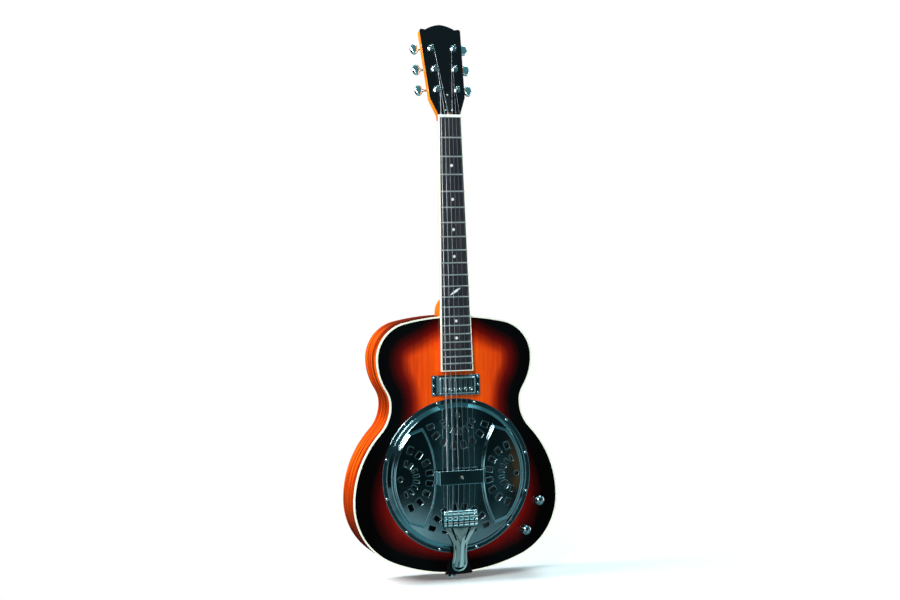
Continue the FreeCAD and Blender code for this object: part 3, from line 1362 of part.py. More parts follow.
def make_jack_plate():
    """Plate that follows the rim's curve, with the jack's hole and two screw holes."""
    centre = jack_centre()
    end = JACK_PLATE_L / 2
    outer = disc(HIP_LOW_R + JACK_PLATE_T, centre[0], centre[1], -end, end)
    shell = outer.cut(disc(HIP_LOW_R + GLUE, centre[0], centre[1], -end - 1, end + 1))
    window = box(-JACK_PLATE_W / 2, -JACK_PLATE_L / 2, -8, JACK_PLATE_W / 2, JACK_PLATE_L / 2, 8)
    window = window.makeFillet(6.0, [e for e in window.Edges if e.BoundBox.ZLength > 10])
    window.rotate(V(0, 0, 0), V(0, 1, 0), 90 - JACK_ANGLE)
    window.translate(jack_point(0))
    plate = shell.common(window)
    plate = plate.cut(rod(JACK_BODY_R + GLUE, jack_point(-3), jack_point(5)))
    for shift in jack_screw_points():
        plate = plate.cut(rod(SCREW_SHANK + GLUE, jack_point(-3) + shift, jack_point(5) + shift))
    return plate


def make_jack_plate_screws():
    direction = jack_point(-1) - jack_point(0)
    turn = Rotation(V(0, 1, 0), direction)
    screws = []
    for shift in jack_screw_points():
        seat = jack_point(JACK_PLATE_T) + shift
        screws.append(placed(screw(JACK_PLATE_T + RIM_T + 3), Placement(seat, turn)))
    return Part.makeCompound(screws)


# ---- tailpiece ----

def tail_bar_y():
    return FRONT_Y - TAIL_HEAD_RISE


def tail_bar_z():
    return TAIL_Z + TAIL_HEAD_Z


def tail_outline():
    """Fiddle outline in the XZ plane: rounded tip, slim waist, and a head that spreads to the bar."""
    tip_z = TAIL_Z + 4
    tip_high = tip_z + TAIL_TIP_HALF
    head_z = tail_bar_z()
    wing_z = head_z - 23
    spread = TAIL_STEM_HALF + 12

    def half(sign):
        def point(x, z):
            return V(sign * x, 0, z)

        tip_side = point(TAIL_TIP_HALF, tip_high)
        waist = point(TAIL_STEM_HALF, tip_z + 46)
        wing = point(spread, wing_z)
        cheek = point(TAIL_HEAD_HALF, wing_z + 15)
        return [Part.Arc(tip_side, point(TAIL_STEM_HALF + 0.4, tip_z + 29), waist).toShape(),
                Part.Arc(waist, point(TAIL_STEM_HALF + 3.6, tip_z + 64), wing).toShape(),
                Part.Arc(wing, point(TAIL_HEAD_HALF - 1.5, wing_z + 8), cheek).toShape(),
                Part.makeLine(cheek, point(TAIL_HEAD_HALF, head_z))]

    tip = Part.Arc(V(-TAIL_TIP_HALF, 0, tip_high), V(0, 0, tip_z), V(TAIL_TIP_HALF, 0, tip_high)).toShape()
    top = Part.makeLine(V(TAIL_HEAD_HALF, 0, head_z), V(-TAIL_HEAD_HALF, 0, head_z))
    return Part.Wire([tip] + half(1) + [top] + list(reversed(half(-1))))


def tail_sheet(front, back):
    """The tailpiece's bowed sheet seen from the side, as a solid between two offsets."""
    foot = V(-TAIL_HEAD_HALF - 5, FRONT_Y - BRACKET_T, TAIL_Z + 2)
    head = V(foot.x, tail_bar_y(), tail_bar_z() + 1)
    middle = (foot + head) * 0.5 + V(0, (head.y - foot.y) * 0.12 - 1.6, 0)

    def curve(shift):
        step = V(0, -shift, 0)
        return Part.Arc(foot + step, middle + step, head + step)

    near, far = curve(front), curve(back)
    edges = [near.toShape(), Part.makeLine(near.EndPoint, far.EndPoint)]
    edges += [far.toShape(), Part.makeLine(far.StartPoint, near.StartPoint)]
    face = Part.Face(Part.Wire(Part.__sortEdges__(edges)))
    return face.extrude(V(-2 * foot.x, 0, 0))


def make_tailpiece():
    """Stamped tailpiece: rolled string bar, six string slots and two slits beside its centre wedge."""
    slab = Part.Face(tail_outline())
    slab.translate(V(0, FRONT_Y - 60, 0))
    slab = slab.extrude(V(0, 80, 0))
    sheet = slab.common(tail_sheet(TAIL_T, GLUE))
    y = tail_bar_y()
    z = tail_bar_z()
    bar = rod(TAIL_BAR_R, V(-TAIL_HEAD_HALF, y + 0.6, z), V(TAIL_HEAD_HALF, y + 0.6, z))
    sheet = sheet.fuse(bar)
    for index in range(6):
        x = string_x(index, STRING_TAIL_SPAN)
        wide = STRING_RADII[index] + 0.35
        sheet = sheet.cut(box(x - wide, y - 12, z - 9.6, x + wide, y + 12, z - 2.4))
        sheet = sheet.cut(box(x - wide, y - 12, z - 3, x + wide, y + 1.4, z + 8))
    for side in (-1, 1):
        slit = box(-0.9, y - 14, -10, 0.9, y + 20, 10)
        slit.rotate(V(0, 0, 0), V(0, 1, 0), side * TAIL_SLIT_LEAN)
        slit.translate(V(side * 13.5, 0, z - 23))
        sheet = sheet.cut(slit)
    return sheet


def make_tailpiece_bracket():
    """Steel bracket on the tail edge: a tapered flap on the soundboard and a flange under the tail."""
    edge = BRACKET_EDGE_HALF
    top = BRACKET_TOP_HALF
    run = TAIL_Z + BRACKET_RUN
    front = FRONT_Y - BRACKET_T
    points = [V(-edge, front, -6), V(edge, front, -6), V(edge, front, TAIL_Z)]
    points += [V(top, front, run), V(-top, front, run), V(-edge, front, TAIL_Z)]
    flap = polygon(points).extrude(V(0, BRACKET_T, 0))
    flap = flap.common(body_prism(GLUE + BRACKET_T, FRONT_Y - 5, FRONT_Y + 5))
    flange = body_prism(GLUE + BRACKET_T, FRONT_Y - BRACKET_T, 14).cut(body_prism(GLUE, FRONT_Y, 20))
    flange = flange.common(box(-edge, front, -6, edge, 12, TAIL_Z + 3))
    bracket = flap.fuse(flange)
    return bracket.cut(rod(STRAP_SCREW_R + GLUE, V(0, 0, -8), V(0, 0, 8)))


# ---- strap buttons ----

def strap_button():
    """Flared button with its seat at the origin, standing along -Y, and its screw along +Y."""
    r = BUTTON_SEAT_R
    h = STRAP_H
    waist = 3.8
    profile = [V(0, 0, 0), V(r, 0, 0), V(r, -1.5, 0), V(waist, -4.0, 0), V(waist, -h + 4.5, 0)]
    profile += [V(r - 0.3, -h + 2.2, 0), V(r - 0.3, -h + 0.8, 0), V(r - 1.2, -h, 0), V(0, -h, 0)]
    body = Part.Face(Part.makePolygon(profile + [profile[0]])).revolve(V(0, 0, 0), V(0, 1, 0), 360)
    shank = Part.makeCylinder(STRAP_SCREW_R, STRAP_SCREW_L - 2, V(0, -0.5, 0), V(0, 1, 0))
    slot = box(-3, -h - 1, -0.4, 3, -h + 0.8, 0.4)
    return body.fuse(shank).cut(slot)


def heel_button_place():
    return NECK_FRAME.multiply(Placement(V(0, HEEL_DEPTH, HEEL_BUTTON_S), Rotation(V(1, 0, 0), 180)))


def strap_screw_hole():
    tool = Part.makeCylinder(STRAP_SCREW_R + GLUE, STRAP_SCREW_L, V(0, -0.5, 0), V(0, 1, 0))
    return placed(tool, heel_button_place())


def make_strap_buttons():
    tail = placed(strap_button(), Placement(V(0, 0, 0), Rotation(V(1, 0, 0), 90)))
    heel = placed(strap_button(), heel_button_place())
    return Part.makeCompound([tail, heel])


def build():
    os.makedirs("parts", exist_ok=True)
    save("soundboard", make_soundboard())
    save("back_plate", make_back_plate())
    save("side_bass", make_side(-1))
    save("side_treble", make_side(1))
    save("top_binding", make_top_binding())
    save("linings", make_linings())
    save("soundwell", make_soundwell())
    save("neck_block", make_neck_block())
    save("tail_block", make_tail_block())
    save("back_braces", make_back_braces())
    save("resonator_cone", make_resonator_cone())
    save("spider_bridge", make_spider_bridge())
    save("saddle", make_saddle())
    save("tension_screw", make_tension_screw())
    save("coverplate", make_coverplate())
    save("palm_rest", make_palm_rest())
    save("coverplate_screws", make_coverplate_screws())
    save("tailpiece", make_tailpiece())
    save("tailpiece_bracket", make_tailpiece_bracket())
    save("strap_buttons", make_strap_buttons())
    save("output_jack", make_output_jack())
    save("jack_plate", make_jack_plate())
    save("jack_plate_screws", make_jack_plate_screws())
    save("pickup_ring", make_pickup_ring())
    save("pickup_cover", make_pickup_cover())
    save("pickup_bobbins", make_pickup_bobbins())
    save("pickup_baseplate", make_pickup_baseplate())
    save("pickup_pole_screws", make_pickup_pole_screws())
    save("pickup_ring_screws", make_pickup_ring_screws())
    save("potentiometers", make_potentiometers())
    save("volume_knob", make_knob(VOLUME_X, TAIL_Z + VOLUME_Z))
    save("tone_knob", make_knob(TONE_X, TAIL_Z + TONE_Z))
    save("neck", make_neck())
    save("fingerboard", make_fingerboard())
    save("fingerboard_binding", make_fingerboard_binding())
    save("frets", make_frets())
    save("inlays", make_inlays())
    save("nut", make_nut())
    save("headstock_veneer", make_headstock_veneer())
    save("truss_rod", make_truss_rod())
    save("truss_rod_cover", make_truss_rod_cover())
    save("truss_rod_cover_screws", make_truss_rod_cover_screws())
    save("tuner_housings", make_tuner_housings())
    save("tuner_bushings", make_tuner_bushings())
    save("tuner_screws", make_tuner_screws())
    strings = string_solids()
    save("wound_strings", Part.makeCompound(strings[:3]))
    save("plain_strings", Part.makeCompound(strings[3:]))
    for index, (x, u) in enumerate(post_places()):
        save("tuner_button_%d" % (6 - index), make_tuner_button(x, u))
        save("tuner_post_%d" % (6 - index), make_post_node(x, u, STRING_RADII[index]))


build()
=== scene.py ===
import itertools
import math

import bmesh
import bpy
from mathutils import Matrix, Vector


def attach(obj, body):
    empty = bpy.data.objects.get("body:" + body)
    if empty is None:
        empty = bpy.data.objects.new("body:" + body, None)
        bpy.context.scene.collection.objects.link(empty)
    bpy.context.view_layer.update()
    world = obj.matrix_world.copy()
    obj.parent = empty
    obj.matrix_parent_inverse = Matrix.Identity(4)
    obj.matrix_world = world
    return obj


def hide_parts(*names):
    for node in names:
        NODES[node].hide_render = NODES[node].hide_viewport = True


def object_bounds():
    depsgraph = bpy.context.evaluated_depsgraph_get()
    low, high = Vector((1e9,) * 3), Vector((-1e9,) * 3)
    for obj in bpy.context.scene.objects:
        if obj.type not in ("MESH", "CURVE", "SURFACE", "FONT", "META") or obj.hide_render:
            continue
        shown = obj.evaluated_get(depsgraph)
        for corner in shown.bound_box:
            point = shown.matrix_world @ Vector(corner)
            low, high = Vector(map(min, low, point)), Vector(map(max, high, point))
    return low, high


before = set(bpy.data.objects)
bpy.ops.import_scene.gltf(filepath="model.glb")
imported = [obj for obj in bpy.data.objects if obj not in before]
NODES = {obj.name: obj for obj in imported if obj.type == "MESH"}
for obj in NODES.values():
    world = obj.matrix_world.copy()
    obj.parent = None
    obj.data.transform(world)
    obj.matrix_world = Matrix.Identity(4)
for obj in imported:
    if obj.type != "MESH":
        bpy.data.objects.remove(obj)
CAD_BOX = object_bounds()
MM = 0.001

# ---- body outline, as the arcs that its sides follow, in millimetres ----

TAIL_Z = 1.55
LOWER_HALF, WAIST_HALF, UPPER_HALF = 193.0, 123.3, 146.8
LOWER_Z, WAIST_Z, UPPER_Z = TAIL_Z + 133.5, TAIL_Z + 309.0, TAIL_Z + 390.0
TOP_Z = TAIL_Z + 467.0
SHOULDER_R, FLANK_R, WAIST_LOW_R, HIP_LOW_R = 68.2, 103.5, 71.4, 118.5

# ---- coverplate's side panels, from its centre, in millimetres ----

PLATE_CENTRE_Z = 179.05
RING_INSIDE_R = 122.0
CHANNEL_HALF = 44.0
CHANNEL_START, CHANNEL_END = 13.5, 89.0
CHANNEL_SPREAD, CHANNEL_BEND = 2.06, 20.94
PANEL_TOP_OUT, PANEL_TOP_UP, PANEL_TOP_SUM, PANEL_TOP_LENGTH = 9.0, 25.1, 2836.9, 26.66
ROLL_WIDTH = 4.0
ROLL_DEPTH_M = 0.0016

# ---- formulas in shader nodes ----


class Val:
    """A value in a node tree. Arithmetic on it adds Math nodes."""

    def __init__(self, tree, socket):
        self.tree = tree
        self.socket = socket

    def op(self, operation, *others):
        node = self.tree.nodes.new("ShaderNodeMath")
        node.operation = operation
        for place, value in enumerate((self,) + others):
            feed(self.tree, value, node.inputs[place])
        return Val(self.tree, node.outputs[0])

    def __add__(self, other):
        return self.op("ADD", other)

    __radd__ = __add__

    def __sub__(self, other):
        return self.op("SUBTRACT", other)

    def __rsub__(self, other):
        return (self * -1.0) + other

    def __mul__(self, other):
        return self.op("MULTIPLY", other)

    __rmul__ = __mul__

    def __truediv__(self, other):
        return self.op("DIVIDE", other)

    def abs(self):
        return self.op("ABSOLUTE")

    def sqrt(self):
        return self.op("SQRT")

    def sin(self):
        return self.op("SINE")

    def over(self, other):
        return self.op("GREATER_THAN", other)

    def clamp(self):
        return self.op("MAXIMUM", 0.0).op("MINIMUM", 1.0)

    def ramp(self, low, high):
        """0 below low and 1 above high, with a smooth rise between."""
        node = self.tree.nodes.new("ShaderNodeMapRange")
        node.interpolation_type = "SMOOTHSTEP"
        feed(self.tree, self, node.inputs["Value"])
        node.inputs["From Min"].default_value = low
        node.inputs["From Max"].default_value = high
        return Val(self.tree, node.outputs["Result"])


def feed(tree, value, socket):
    """Links a Val to the socket, or sets the socket to a plain value."""
    if isinstance(value, Val):
        tree.links.new(value.socket, socket)
    else:
        socket.default_value = value


def choose(test, yes, no):
    """yes where test is 1, no where it is 0."""
    return no + (yes - no) * test


def dot(values, weights):
    (x, y, z), (a, b, c) = values, weights
    return x * a + y * b + z * c


def distance(x, z, centre):
    dx = x - centre[0]
    dz = z - centre[1]
    return (dx * dx + dz * dz).sqrt()


def beyond(x, z, a, b):
    """1 on the clockwise side of the line from a to b."""
    return ((x - a[0]) * (b[1] - a[1]) - (z - a[1]) * (b[0] - a[0])).over(0.0)


def end_radius(half, rise, corner_r):
    """Radius of the arc over one end of the body, which meets a corner arc on each side.

    half is the half width level with the corners' centres, and rise is from there to the end."""
    run = half - corner_r
    return (run * run + rise * rise - corner_r ** 2) / (2 * (rise - corner_r))


def side_radius(run, rise, next_r):
    """Radius of the arc that turns into one of radius next_r, bent the other way.

    run and rise are from the widest place of one to the narrowest of the other."""
    return (run * run + rise * rise) / (2 * run) - next_r


def edge_distance(x, z):
    """Millimetres from the body's outline to a point inside it, right to about 60 mm deep."""
    top_r = end_radius(UPPER_HALF, TOP_Z - UPPER_Z, SHOULDER_R)
    waist_high_r = side_radius(UPPER_HALF - WAIST_HALF, UPPER_Z - WAIST_Z, FLANK_R)
    hip_r = side_radius(LOWER_HALF - WAIST_HALF, WAIST_Z - LOWER_Z, WAIST_LOW_R)
    base_r = end_radius(LOWER_HALF, LOWER_Z - TAIL_Z, HIP_LOW_R)
    top = (0.0, TOP_Z - top_r)
    shoulder = (UPPER_HALF - SHOULDER_R, UPPER_Z)
    flank = (UPPER_HALF - FLANK_R, UPPER_Z)
    waist_high = (WAIST_HALF + waist_high_r, WAIST_Z)
    waist_low = (WAIST_HALF + WAIST_LOW_R, WAIST_Z)
    hip = (LOWER_HALF - hip_r, LOWER_Z)
    low = (LOWER_HALF - HIP_LOW_R, LOWER_Z)
    base = (0.0, TAIL_Z + base_r)
    d = top_r - distance(x, z, top)
    d = choose(beyond(x, z, top, shoulder), SHOULDER_R - distance(x, z, shoulder), d)
    d = choose(z.over(UPPER_Z), d, FLANK_R - distance(x, z, flank))
    d = choose(beyond(x, z, flank, waist_high), distance(x, z, waist_high) - waist_high_r, d)
    d = choose(z.over(WAIST_Z), d, distance(x, z, waist_low) - WAIST_LOW_R)
    past = beyond(x, z, hip, waist_low) * (1.0 - z.over(WAIST_Z))
    d = choose(past, hip_r - distance(x, z, hip), d)
    d = choose(z.over(LOWER_Z), d, HIP_LOW_R - distance(x, z, low))
    under = beyond(x, z, base, low) * (1.0 - z.over(LOWER_Z))
    return choose(under, base_r - distance(x, z, base), d)


# ---- materials ----


class Paint:
    """One material: its principled shader and short ways to build what feeds it."""

    def __init__(self, name, **fixed):
        self.material = bpy.data.materials.new(name)
        self.material.use_nodes = True
        self.tree = self.material.node_tree
        self.shader = self.tree.nodes["Principled BSDF"]
        self.set(**fixed)

    def set(self, **values):
        for key, value in values.items():
            feed(self.tree, value, self.shader.inputs[key.replace("_", " ")])

    def place(self):
        """The point's x, y and z in millimetres."""
        node = self.tree.nodes.new("ShaderNodeTexCoord")
        split = self.tree.nodes.new("ShaderNodeSeparateXYZ")
        self.tree.links.new(node.outputs["Object"], split.inputs[0])
        return [Val(self.tree, s) * (1.0 / MM) for s in split.outputs]

    def vector(self, x, y, z):
        node = self.tree.nodes.new("ShaderNodeCombineXYZ")
        for value, socket in zip((x, y, z), node.inputs):
            feed(self.tree, value, socket)
        return Val(self.tree, node.outputs[0])

    def noise(self, x, y, z, detail=3.0, distortion=0.0):
        """Noise from 0 to 1 at a point whose unit is one blotch."""
        node = self.tree.nodes.new("ShaderNodeTexNoise")
        feed(self.tree, self.vector(x, y, z), node.inputs["Vector"])
        node.inputs["Scale"].default_value = 1.0
        node.inputs["Detail"].default_value = detail
        node.inputs["Roughness"].default_value = 0.55
        node.inputs["Distortion"].default_value = distortion
        return Val(self.tree, node.outputs[0])

    def colours(self, value, *stops):
        """A colour for each value, from (place, colour) stops."""
        node = self.tree.nodes.new("ShaderNodeValToRGB")
        feed(self.tree, value, node.inputs[0])
        ramp = node.color_ramp
        while len(ramp.elements) < len(stops):
            ramp.elements.new(0.5)
        for element, (where, colour) in zip(ramp.elements, stops):
            element.position = where
            element.color = (*colour, 1.0)
        return Val(self.tree, node.outputs[0])

    def blend(self, share, first, second, kind="MIX"):
        """The first colour turned into the second, by a share from 0 to 1."""
        node = self.tree.nodes.new("ShaderNodeMix")
        node.data_type = "RGBA"
        node.blend_type = kind
        feed(self.tree, share, node.inputs[0])
        for value, place in ((first, 6), (second, 7)):
            if isinstance(value, Val):
                self.tree.links.new(value.socket, node.inputs[place])
            else:
                node.inputs[place].default_value = (*value, 1.0)
        return Val(self.tree, node.outputs[2])

    def bump(self, height, reach, strength=1.0):
        """Normals from a height that is 0 to 1 over reach metres. Returns the paint."""
        node = self.tree.nodes.new("ShaderNodeBump")
        node.inputs["Strength"].default_value = strength
        node.inputs["Distance"].default_value = reach
        feed(self.tree, height, node.inputs["Height"])
        self.tree.links.new(node.outputs[0], self.shader.inputs["Normal"])
        return self


def lacquer(name, coat, haze=0.03):
    """Thick clear lacquer over what lies under it."""
    return Paint(name, Roughness=0.5, Specular_IOR_Level=0.02,
                 Coat_Weight=coat, Coat_Roughness=haze, Coat_IOR=1.45)


BURST_DEPTH = 62.0


def sunburst():
    """Vertical-grained top: black at the edge, then red, and amber beside the neck."""
    p = lacquer("sunburst_top", 0.5)
    x, _, z = p.place()
    d = edge_distance(x.abs(), z).op("MINIMUM", BURST_DEPTH)
    wander = p.noise(x * 0.012, 0.0, z * 0.012) - 0.5
    upper = z.ramp(215.0, 330.0)
    body = z.ramp(200.0, 300.0)
    middle = 1.0 - x.abs().ramp(10.0, 105.0)
    base = 1.0 - z.ramp(30.0, 110.0)
    depth = (d + wander * 6.0) / BURST_DEPTH
    burst = depth * (0.52 + body * 0.20 + base * 0.22) + middle * upper * 0.30
    tint = p.colours(burst,
                     (0.0, (0.0004, 0.0003, 0.0004)), (0.25, (0.0012, 0.0002, 0.0004)),
                     (0.36, (0.032, 0.0003, 0.0005)), (0.50, (0.12, 0.002, 0.001)),
                     (0.64, (0.36, 0.018, 0.002)), (0.80, (0.86, 0.066, 0.003)),
                     (1.0, (1.0, 0.112, 0.004)))
    wave = p.noise(x * 0.02, 0.0, z * 0.004, detail=1.0) * 6.0
    fine = p.noise((x + wave) * 0.9, 0.0, z * 0.012, detail=4.0)
    broad = p.noise((x + wave) * 0.16, 0.0, z * 0.006, detail=2.0)
    grain = (fine * 0.65 + broad * 0.35).ramp(0.30, 0.72)
    shade = p.colours(grain, (0.0, (0.66, 0.52, 0.44)), (1.0, (1.0, 1.0, 1.0)))
    p.set(Base_Color=p.blend(1.0, tint, shade, "MULTIPLY"))
    return p.bump(grain, 0.00004, 0.25)


def mahogany(name, across, along, tones, coat=0.6, pitch=9.0, dark=0.8, painted_shade=False):
    """Stained mahogany in three tones, with dark lines about two pitches apart, in millimetres.

    across and along say which of x, y and z the grain crosses and follows. painted_shade darkens
    the colour at both ends and at the waist, as on the sides: partly darker staining, partly
    painted shade."""
    p = lacquer(name, coat, 0.12)
    place = p.place()
    follow, cross = dot(place, along), dot(place, across)
    sway = p.noise(cross * 0.01, follow * 0.004, 0.0, detail=2.0) * 10.0
    figure = p.noise((cross + sway) * 0.10, follow * 0.006, 3.0, detail=2.0)
    line = p.noise((cross + sway * 0.4) / pitch, follow * 0.002, 7.0, detail=2.0)
    pores = p.noise((cross + sway) * 2.4, follow * 0.05, 0.0, detail=3.0).ramp(0.5, 0.75)
    tone = p.colours(figure.ramp(0.3, 0.7), (0.0, tones[0]), (0.5, tones[1]), (1.0, tones[2]))
    tone = p.blend(line.ramp(0.52, 0.58) * dark, tone, [c * 0.22 for c in tones[0]])
    # Darker at both ends and at the waist: partly darker staining, partly painted shade.
    if painted_shade:
        height = place[2]
        clear = height.ramp(60.0, 200.0) * (1.0 - height.ramp(420.0, 466.0))
        waist = height.ramp(268.0, 312.0) * (1.0 - height.ramp(320.0, 362.0))
        stain_and_painted_shade = p.blend(1.0, tone, (0.16, 0.07, 0.1), "MULTIPLY")
        tone = p.blend(1.0 - clear * (1.0 - waist * 0.55), tone, stain_and_painted_shade)
    p.set(Base_Color=p.blend(pores * 0.4, tone, [c * 0.3 for c in tones[0]]))
    return p.bump(1.0 - pores, 0.00004, 0.15)


def bare_wood(name, dark, light):
    """Unfinished wood with its grain up the guitar."""
    p = Paint(name, Roughness=0.6)
    x, y, z = p.place()
    sway = p.noise(x * 0.01, y * 0.01, z * 0.01) * 12.0
    grain = p.noise((x + sway) * 0.3, (y + sway) * 0.3, z * 0.02, detail=5.0)
    grain = grain.ramp(0.3, 0.7)
    p.set(Base_Color=p.colours(grain, (0.0, dark), (1.0, light)))
    return p.bump(grain, 0.0001, 0.4)


def rosewood():
    """Oiled dark rosewood: near-black streaks, brown between, and open pores along the neck."""
    p = Paint("rosewood", Roughness=0.42)
    x, y, z = p.place()
    sway = p.noise(x * 0.03, 0.0, z * 0.004) * 8.0
    streak = p.noise((x + sway) * 0.35, 0.0, z * 0.006, detail=4.0)
    pores = p.noise((x + sway) * 2.2, y * 2.2, z * 0.06, detail=3.0).ramp(0.55, 0.72)
    tone = p.colours(streak.ramp(0.3, 0.7), (0.0, (0.005, 0.006, 0.010)),
                     (0.5, (0.012, 0.012, 0.017)), (1.0, (0.036, 0.026, 0.026)))
    p.set(Base_Color=p.blend(pores * 0.7, tone, (0.006, 0.004, 0.004)))
    p.set(Roughness=0.36 + pores * 0.3)
    return p.bump(1.0 - pores, 0.00008, 0.5)


def metal(name, colour, rough, smears=0.05, scratch=0.1, edge=0.0, painted_highlight=None):
    """Metal with faint wiping marks in its polish and, where edge is set, rounded edges.

    edge is their radius in metres. painted_highlight is (height, colour): the colour above that
    height, a painted highlight."""
    p = Paint(name, Metallic=1.0)
    x, y, z = p.place()
    cloud = p.noise(x * 0.05, y * 0.05, z * 0.05, detail=4.0)
    hair = p.noise(x * 0.4, y * 0.4, z * 3.0, detail=4.0)
    tone = p.colours(cloud, (0.2, [c * 0.9 for c in colour]), (0.8, colour))
    # Painted highlight: above the given height the colour turns to the one given.
    if painted_highlight:
        tone = p.blend(z.ramp(painted_highlight[0] - 2.0, painted_highlight[0] + 2.0), tone, painted_highlight[1])
    p.set(Base_Color=tone, Roughness=rough + cloud * smears + hair * smears * 0.5)
    p.bump(hair, 0.00001, scratch)
    if edge:
        soft = p.tree.nodes.new("ShaderNodeBevel")
        soft.samples = 6
        soft.inputs["Radius"].default_value = edge
        p.tree.links.new(soft.outputs[0], p.tree.nodes["Bump"].inputs["Normal"])
    return p


def cover_metal(colour):
    """The coverplate's plating, which rounds off the modelled step between the side panels and
    the string channel."""
    p = metal("cover_chrome", colour, 0.05, edge=0.0020)
    x, _, z = p.place()
    out, up = x.abs(), (z - PLATE_CENTRE_Z).abs()
    share = (up - CHANNEL_START).op("MAXIMUM", 0.0) / (CHANNEL_END - CHANNEL_START)
    channel = share * share * CHANNEL_BEND + share * CHANNEL_SPREAD + CHANNEL_HALF
    from_channel = out - channel
    from_top = (PANEL_TOP_SUM - out * PANEL_TOP_OUT - up * PANEL_TOP_UP) / PANEL_TOP_LENGTH
    from_ring = RING_INSIDE_R - (out * out + up * up).sqrt()
    inside = from_channel.op("MINIMUM", from_top).op("MINIMUM", from_ring)
    roll = p.tree.nodes.new("ShaderNodeBump")
    roll.inputs["Distance"].default_value = ROLL_DEPTH_M
    feed(p.tree, inside.ramp(0.0, ROLL_WIDTH), roll.inputs["Height"])
    fine = p.tree.nodes["Bump"]
    p.tree.links.new(fine.inputs["Normal"].links[0].from_socket, roll.inputs["Normal"])
    p.tree.links.new(roll.outputs[0], fine.inputs["Normal"])
    return p


def plastic(name, colour, rough, fine_rough=0.08):
    """Plastic or lacquer in one colour, with slight clouds and a fine texture in its gloss."""
    p = Paint(name)
    x, y, z = p.place()
    cloud = p.noise(x * 0.03, y * 0.03, z * 0.03, detail=3.0)
    fine = p.noise(x * 2.0, y * 2.0, z * 2.0, detail=2.0)
    tone = p.colours(cloud, (0.3, [c * 0.94 for c in colour]), (0.7, colour))
    p.set(Base_Color=tone, Roughness=rough + fine * fine_rough)
    return p.bump(fine, 0.00002, 0.15)


def pearl():
    """Mother-of-pearl in three pale tones."""
    p = Paint("pearl", Roughness=0.2, Coat_Weight=0.5)
    x, y, z = p.place()
    cloud = p.noise(x * 0.4, y * 0.4, z * 0.25, detail=3.0, distortion=1.2)
    p.set(Base_Color=p.colours(cloud, (0.3, (0.62, 0.66, 0.68)), (0.5, (0.85, 0.84, 0.8)),
                               (0.7, (0.72, 0.8, 0.84))))
    return p


WINDING_PITCH = 0.3


def wound_string():
    """Round winding over a core, with painted shade in the grooves between the wraps."""
    p = Paint("string_wound", Metallic=1.0, Roughness=0.3)
    _, _, z = p.place()
    ring = (z * (2.0 * math.pi / WINDING_PITCH)).sin() * 0.5 + 0.5
    # Darker where the winding dips, in the grooves between wraps: painted shade.
    p.set(Base_Color=p.colours(ring, (0.0, (0.16, 0.16, 0.17)), (0.6, (0.50, 0.52, 0.56))))
    return p.bump(ring, 0.0001, 0.8)


RED_TONES = ((0.30, 0.018, 0.001), (0.68, 0.062, 0.002), (1.0, 0.135, 0.004))
GOLD_TONES = ((0.62, 0.115, 0.006), (0.92, 0.22, 0.010), (1.0, 0.32, 0.022))
PLATE_COLOUR = (0.22, 0.33, 0.36)
FLAT_ACROSS, UP_ALONG = (1.0, 1.0, 0.0), (0.0, 0.0, 1.0)

PAINTS = {
    "sunburst_top": sunburst(),
    "mahogany_gloss": mahogany("mahogany_gloss", FLAT_ACROSS, UP_ALONG, RED_TONES,
                               pitch=5.0, dark=0.3),
    "inner_wood": bare_wood("inner_wood", (0.38, 0.24, 0.13), (0.62, 0.44, 0.26)),
    "rosewood": rosewood(),
    "maple": bare_wood("maple", (0.5, 0.34, 0.19), (0.68, 0.5, 0.3)),
    "cream_binding": plastic("cream_binding", (0.88, 0.84, 0.70), 0.25),
    "nut_white": plastic("nut_white", (0.86, 0.84, 0.76), 0.35),
    "pearl": pearl(),
    "black_lacquer": plastic("black_lacquer", (0.002, 0.002, 0.003), 0.02, fine_rough=0.02),
    "black_plastic": plastic("black_plastic", (0.008, 0.008, 0.009), 0.22),
    "plate_chrome": metal("plate_chrome", PLATE_COLOUR, 0.05, edge=0.0020),
    "bright_chrome": metal("bright_chrome", (0.46, 0.54, 0.56), 0.07, edge=0.0003),
    # The tailpiece's chrome is darkened as painted shade, and above 90 mm it turns pale as a
    # painted highlight on the head.
    "tail_chrome": metal("tail_chrome", (0.34, 0.43, 0.42), 0.05, edge=0.0003,
                         painted_highlight=(90.0, (0.9, 0.95, 0.95))),
    "fret_nickel": metal("fret_nickel", (0.66, 0.58, 0.54), 0.3),
    "cone_aluminium": metal("cone_aluminium", (0.10, 0.12, 0.13), 0.35,
                            smears=0.1, scratch=0.3),
    "black_metal": metal("black_metal", (0.012, 0.012, 0.014), 0.4),
    "steel": metal("steel", (0.4, 0.4, 0.4), 0.3),
    "string_wound": wound_string(),
    "string_plain": metal("string_plain", (0.24, 0.25, 0.27), 0.32),
}

# The sides carry painted shade at both ends and at the waist.
SIDE_PAINT = mahogany("mahogany_sides", (0.0, 1.0, 0.0), (0.6, 0.0, 1.0), RED_TONES,
                      coat=0.3, painted_shade=True)
NECK_PAINT = mahogany("mahogany_neck", FLAT_ACROSS, UP_ALONG, GOLD_TONES,
                      pitch=6.0, dark=0.35)
KNOB_PAINT = metal("knob_chrome", (0.24, 0.29, 0.31), 0.06, edge=0.0003)
